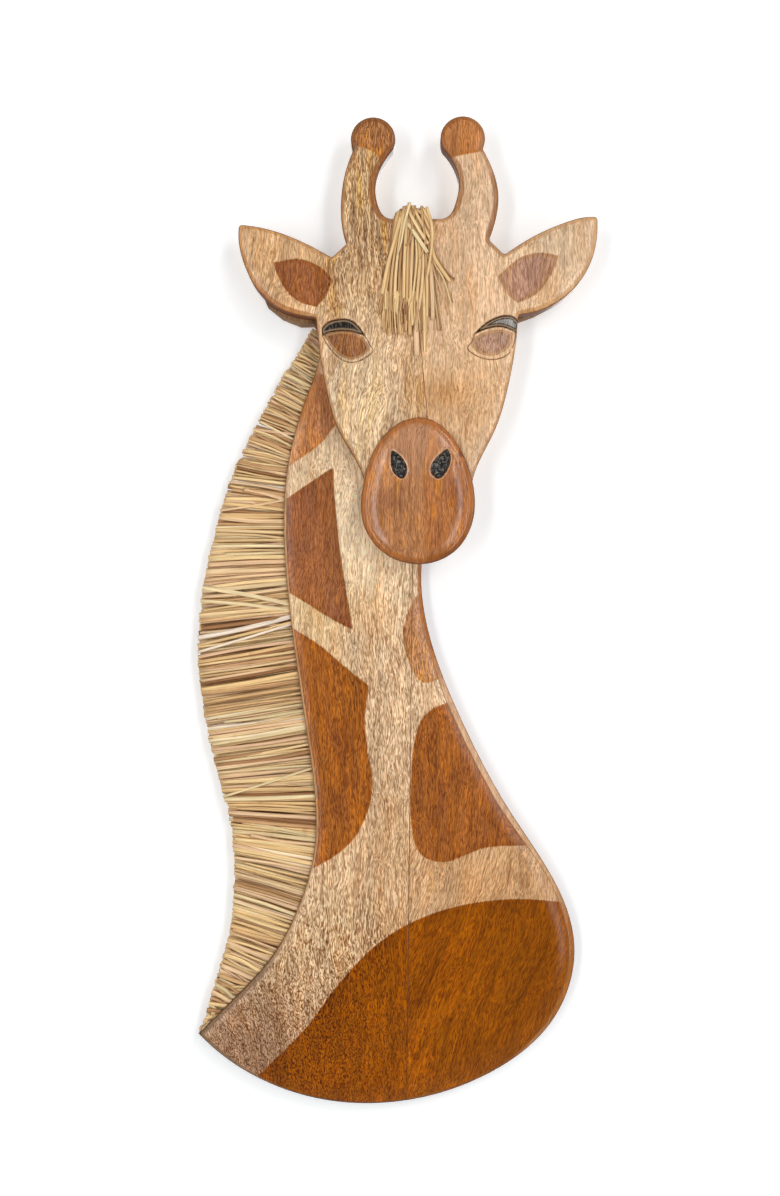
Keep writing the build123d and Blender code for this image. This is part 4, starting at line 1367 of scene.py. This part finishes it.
def add_bristles(bundle, dice):
    """Short strands that come out under the front layer and end raggedly."""
    for index in range(BRISTLES):
        x = BRISTLE_LEFT + (BRISTLE_RIGHT - BRISTLE_LEFT) * (index + dice.random()) / BRISTLES
        top = dice.uniform(58.0, 66.0)
        foot = dice.uniform(37.0, 54.0)
        drift = dice.gauss(0, 0.05) * (top - foot)
        middle = (x + drift / 2 + dice.gauss(0, 0.3), (top + foot) / 2)
        points = [(x + 0.6, top), middle, (x + drift, foot)]
        width = dice.choice(BRISTLE_WIDTHS)
        tone = dice.choice(BRISTLE_TONES)
        forelock_strand(bundle, dice, (points, width, tone, dice.uniform(1.4, 3.0)))


def fill_strand(dice, strands):
    """A thin strand between two neighbours, a little behind them."""
    first, second = dice.choice(list(zip(strands, strands[1:])))
    share = dice.random()
    points = [
        (x1 * share + x2 * (1 - share) + dice.gauss(0, 0.5), z1 * share + z2 * (1 - share))
        for (x1, z1), (x2, z2) in zip(first[0], second[0])
    ]
    points[-1] = (points[-1][0], max(points[-1][1], 36.0) + dice.uniform(0, 9))
    lift = max(0.7, min(first[3], second[3]) - dice.uniform(0.2, 0.9))
    # Its darker tone is partly painted shade for the gaps behind the strands in front.
    return points, dice.choice((1.1, 1.4, 1.8)), dice.uniform(0.05, 0.34), lift


def make_forelock(material):
    """Strands folded over the crown: a long back layer, a short front layer and crossing strands."""
    dice = random.Random(FORELOCK_SEED)
    layers = (
        ("under", UNDER_STRANDS, "forelock_under_layer", 44),
        ("front", FRONT_STRANDS, "forelock_front_layer", 26),
        ("crossing", CROSSING_STRANDS, "forelock_crossing_strands", 6),
    )
    for name, strands, node, fill in layers:
        bundle = StrawBundle()
        for strand in strands:
            forelock_strand(bundle, dice, strand)
        for _ in range(fill):
            forelock_strand(bundle, dice, fill_strand(dice, strands))
        if name == "under":
            add_bristles(bundle, dice)
        bundle.build(f"forelock_straws_{name}", material, node)


# --- Small parts that keep their CAD shape --------------------------------------------------------


def set_material(material, *nodes):
    """Gives CAD nodes a material and leaves their meshes alone."""
    for node in nodes:
        target = NODES[node]
        if not target.material_slots:
            target.data.materials.append(material)
        for slot in target.material_slots:
            slot.link = "OBJECT"
            slot.material = material


# --- Stage, light and camera ----------------------------------------------------------------------

CAMERA_HEIGHT = -0.1188
CAMERA_AWAY = 1.0117
CAMERA_LENS = 50.0
CAMERA_SENSOR = 36.0
FLOOR_GAP = 1.1
FLOOR_REACH = 4.0
WALL_GAP = 0.0005
WALL_REACH = 2.0
WALL_TOP = 1.6
WALL_GLOW = (0.24, 0.27, 0.30)
WALL_TONE = (0.92, 0.90, 0.87)
WORLD_STRENGTH = 0.50
WORLD_DIM = 0.08
# The world is dim where its direction's Y is below the first and full above the second
DIM_RANGE = (-0.93, -0.76)
LIGHT_TARGET = Vector((0.0, 0.0, -0.12))
# name: place, width, height, power
LIGHTS = {
    "key": ((0.95, -1.70, 0.80), 0.5, 0.5, 6.2),
    "front_right": ((0.72, -1.75, -0.10), 0.26, 1.4, 7.2),
    "front_left": ((-0.72, -1.75, -0.10), 0.26, 1.4, 9.0),
    "right": ((1.50, -0.45, 0.00), 0.8, 1.4, 5.0),
    "left": ((-1.50, -0.90, 0.00), 0.8, 1.4, 3.0),
    "behind": ((0.40, 1.80, 0.60), 1.2, 1.2, 14.0),
}


def plane_object(name, corners, material):
    """A flat piece of the stage."""
    plane = new_object(name)
    plane.data.from_pydata(corners, [], [(0, 1, 2, 3)])
    plane.data.materials.append(material)


def make_stage():
    """A pale floor, and a white wall that only shows from the front."""
    low, high = cad_box
    floor = low.z - FLOOR_GAP
    shader = Shader("pale_floor")
    grit = shader.noise(shader.scaled(shader.place(), 0.02))
    tone = shader.ramp(grit, (0.3, (0.78, 0.78, 0.77)), (0.7, (0.82, 0.82, 0.81)))
    material = shader.finish(Base_Color=tone, Roughness=0.7, Normal=shader.bump(grit, 0.0005))
    square = ((-1, -1), (1, -1), (1, 1), (-1, 1))
    plane_object("floor", [(x * FLOOR_REACH, y * FLOOR_REACH, floor) for x, y in square], material)

    shader = Shader("white_wall")
    shown = shader.node("LightPath", "Is Camera Ray")
    shown = shown * (1.0 - shader.node("NewGeometry", "Backfacing"))
    clear = shader.node("BsdfTransparent")
    both = shader.node("MixShader", 0, {0: shown, 1: clear, 2: shader.surface.outputs[0]})
    shader.feed(shader.output.inputs["Surface"], both)
    material = shader.finish(
        Base_Color=WALL_TONE,
        Roughness=0.9,
        Specular_IOR_Level=0.0,
        Emission_Color=WALL_GLOW,
        Emission_Strength=1.0,
    )
    heights = {-1: floor, 1: WALL_TOP}
    corners = [(x * WALL_REACH, high.y + WALL_GAP, heights[z]) for x, z in square]
    plane_object("wall", corners, material)


def make_light():
    """A soft studio: a white world that is dimmer behind the camera, and six soft boxes."""
    world = bpy.data.worlds.new("studio")
    bpy.context.scene.world = world
    world.use_nodes = True
    nodes = Nodes(world.node_tree)
    way = nodes.node("SeparateXYZ", "Y", {0: nodes.node("TexCoord", "Generated")})
    dim = nodes.step(way, *DIM_RANGE, WORLD_DIM * WORLD_STRENGTH, WORLD_STRENGTH, "LINEAR")
    background = world.node_tree.nodes["Background"]
    background.inputs["Color"].default_value = (1, 1, 1, 1)
    camera_ray = nodes.node("LightPath", "Is Camera Ray")
    nodes.feed(background.inputs["Strength"], nodes.blend(camera_ray, dim, 1.0))
    for name, (place, width, height, power) in LIGHTS.items():
        lamp = bpy.data.lights.new(name, "AREA")
        lamp.shape = "RECTANGLE"
        lamp.size = width
        lamp.size_y = height
        lamp.energy = power
        holder = bpy.data.objects.new(name, lamp)
        holder.location = place
        holder.rotation_euler = (LIGHT_TARGET - Vector(place)).to_track_quat("-Z", "Y").to_euler()
        bpy.context.scene.collection.objects.link(holder)


def make_camera():
    """Straight in front, a metre away."""
    data = bpy.data.cameras.new("camera")
    data.lens = CAMERA_LENS
    data.sensor_width = CAMERA_SENSOR
    camera = bpy.data.objects.new("camera", data)
    camera.location = (0.0, -CAMERA_AWAY, CAMERA_HEIGHT)
    camera.rotation_euler = (math.radians(90), 0, 0)
    bpy.context.scene.collection.objects.link(camera)
    bpy.context.scene.camera = camera
    bpy.context.scene.view_settings.view_transform = "Standard"


# --- Put it together ------------------------------------------------------------------------------

make_camera()
make_light()
make_stage()
make_neck()
make_head()
make_muzzle()

straw = straw_material()
make_mane(straw)
make_forelock(straw)

steel_nodes = ("hanger_plate", "hanger_screws", "head_screws", "batten_screws", "forelock_staples")
set_material(steel_material(), *steel_nodes)
raw_nodes = ("neck_seam_dowels", "head_seam_dowels", "muzzle_dowels", "ear_batten")
set_material(raw_wood_material(), *raw_nodes)
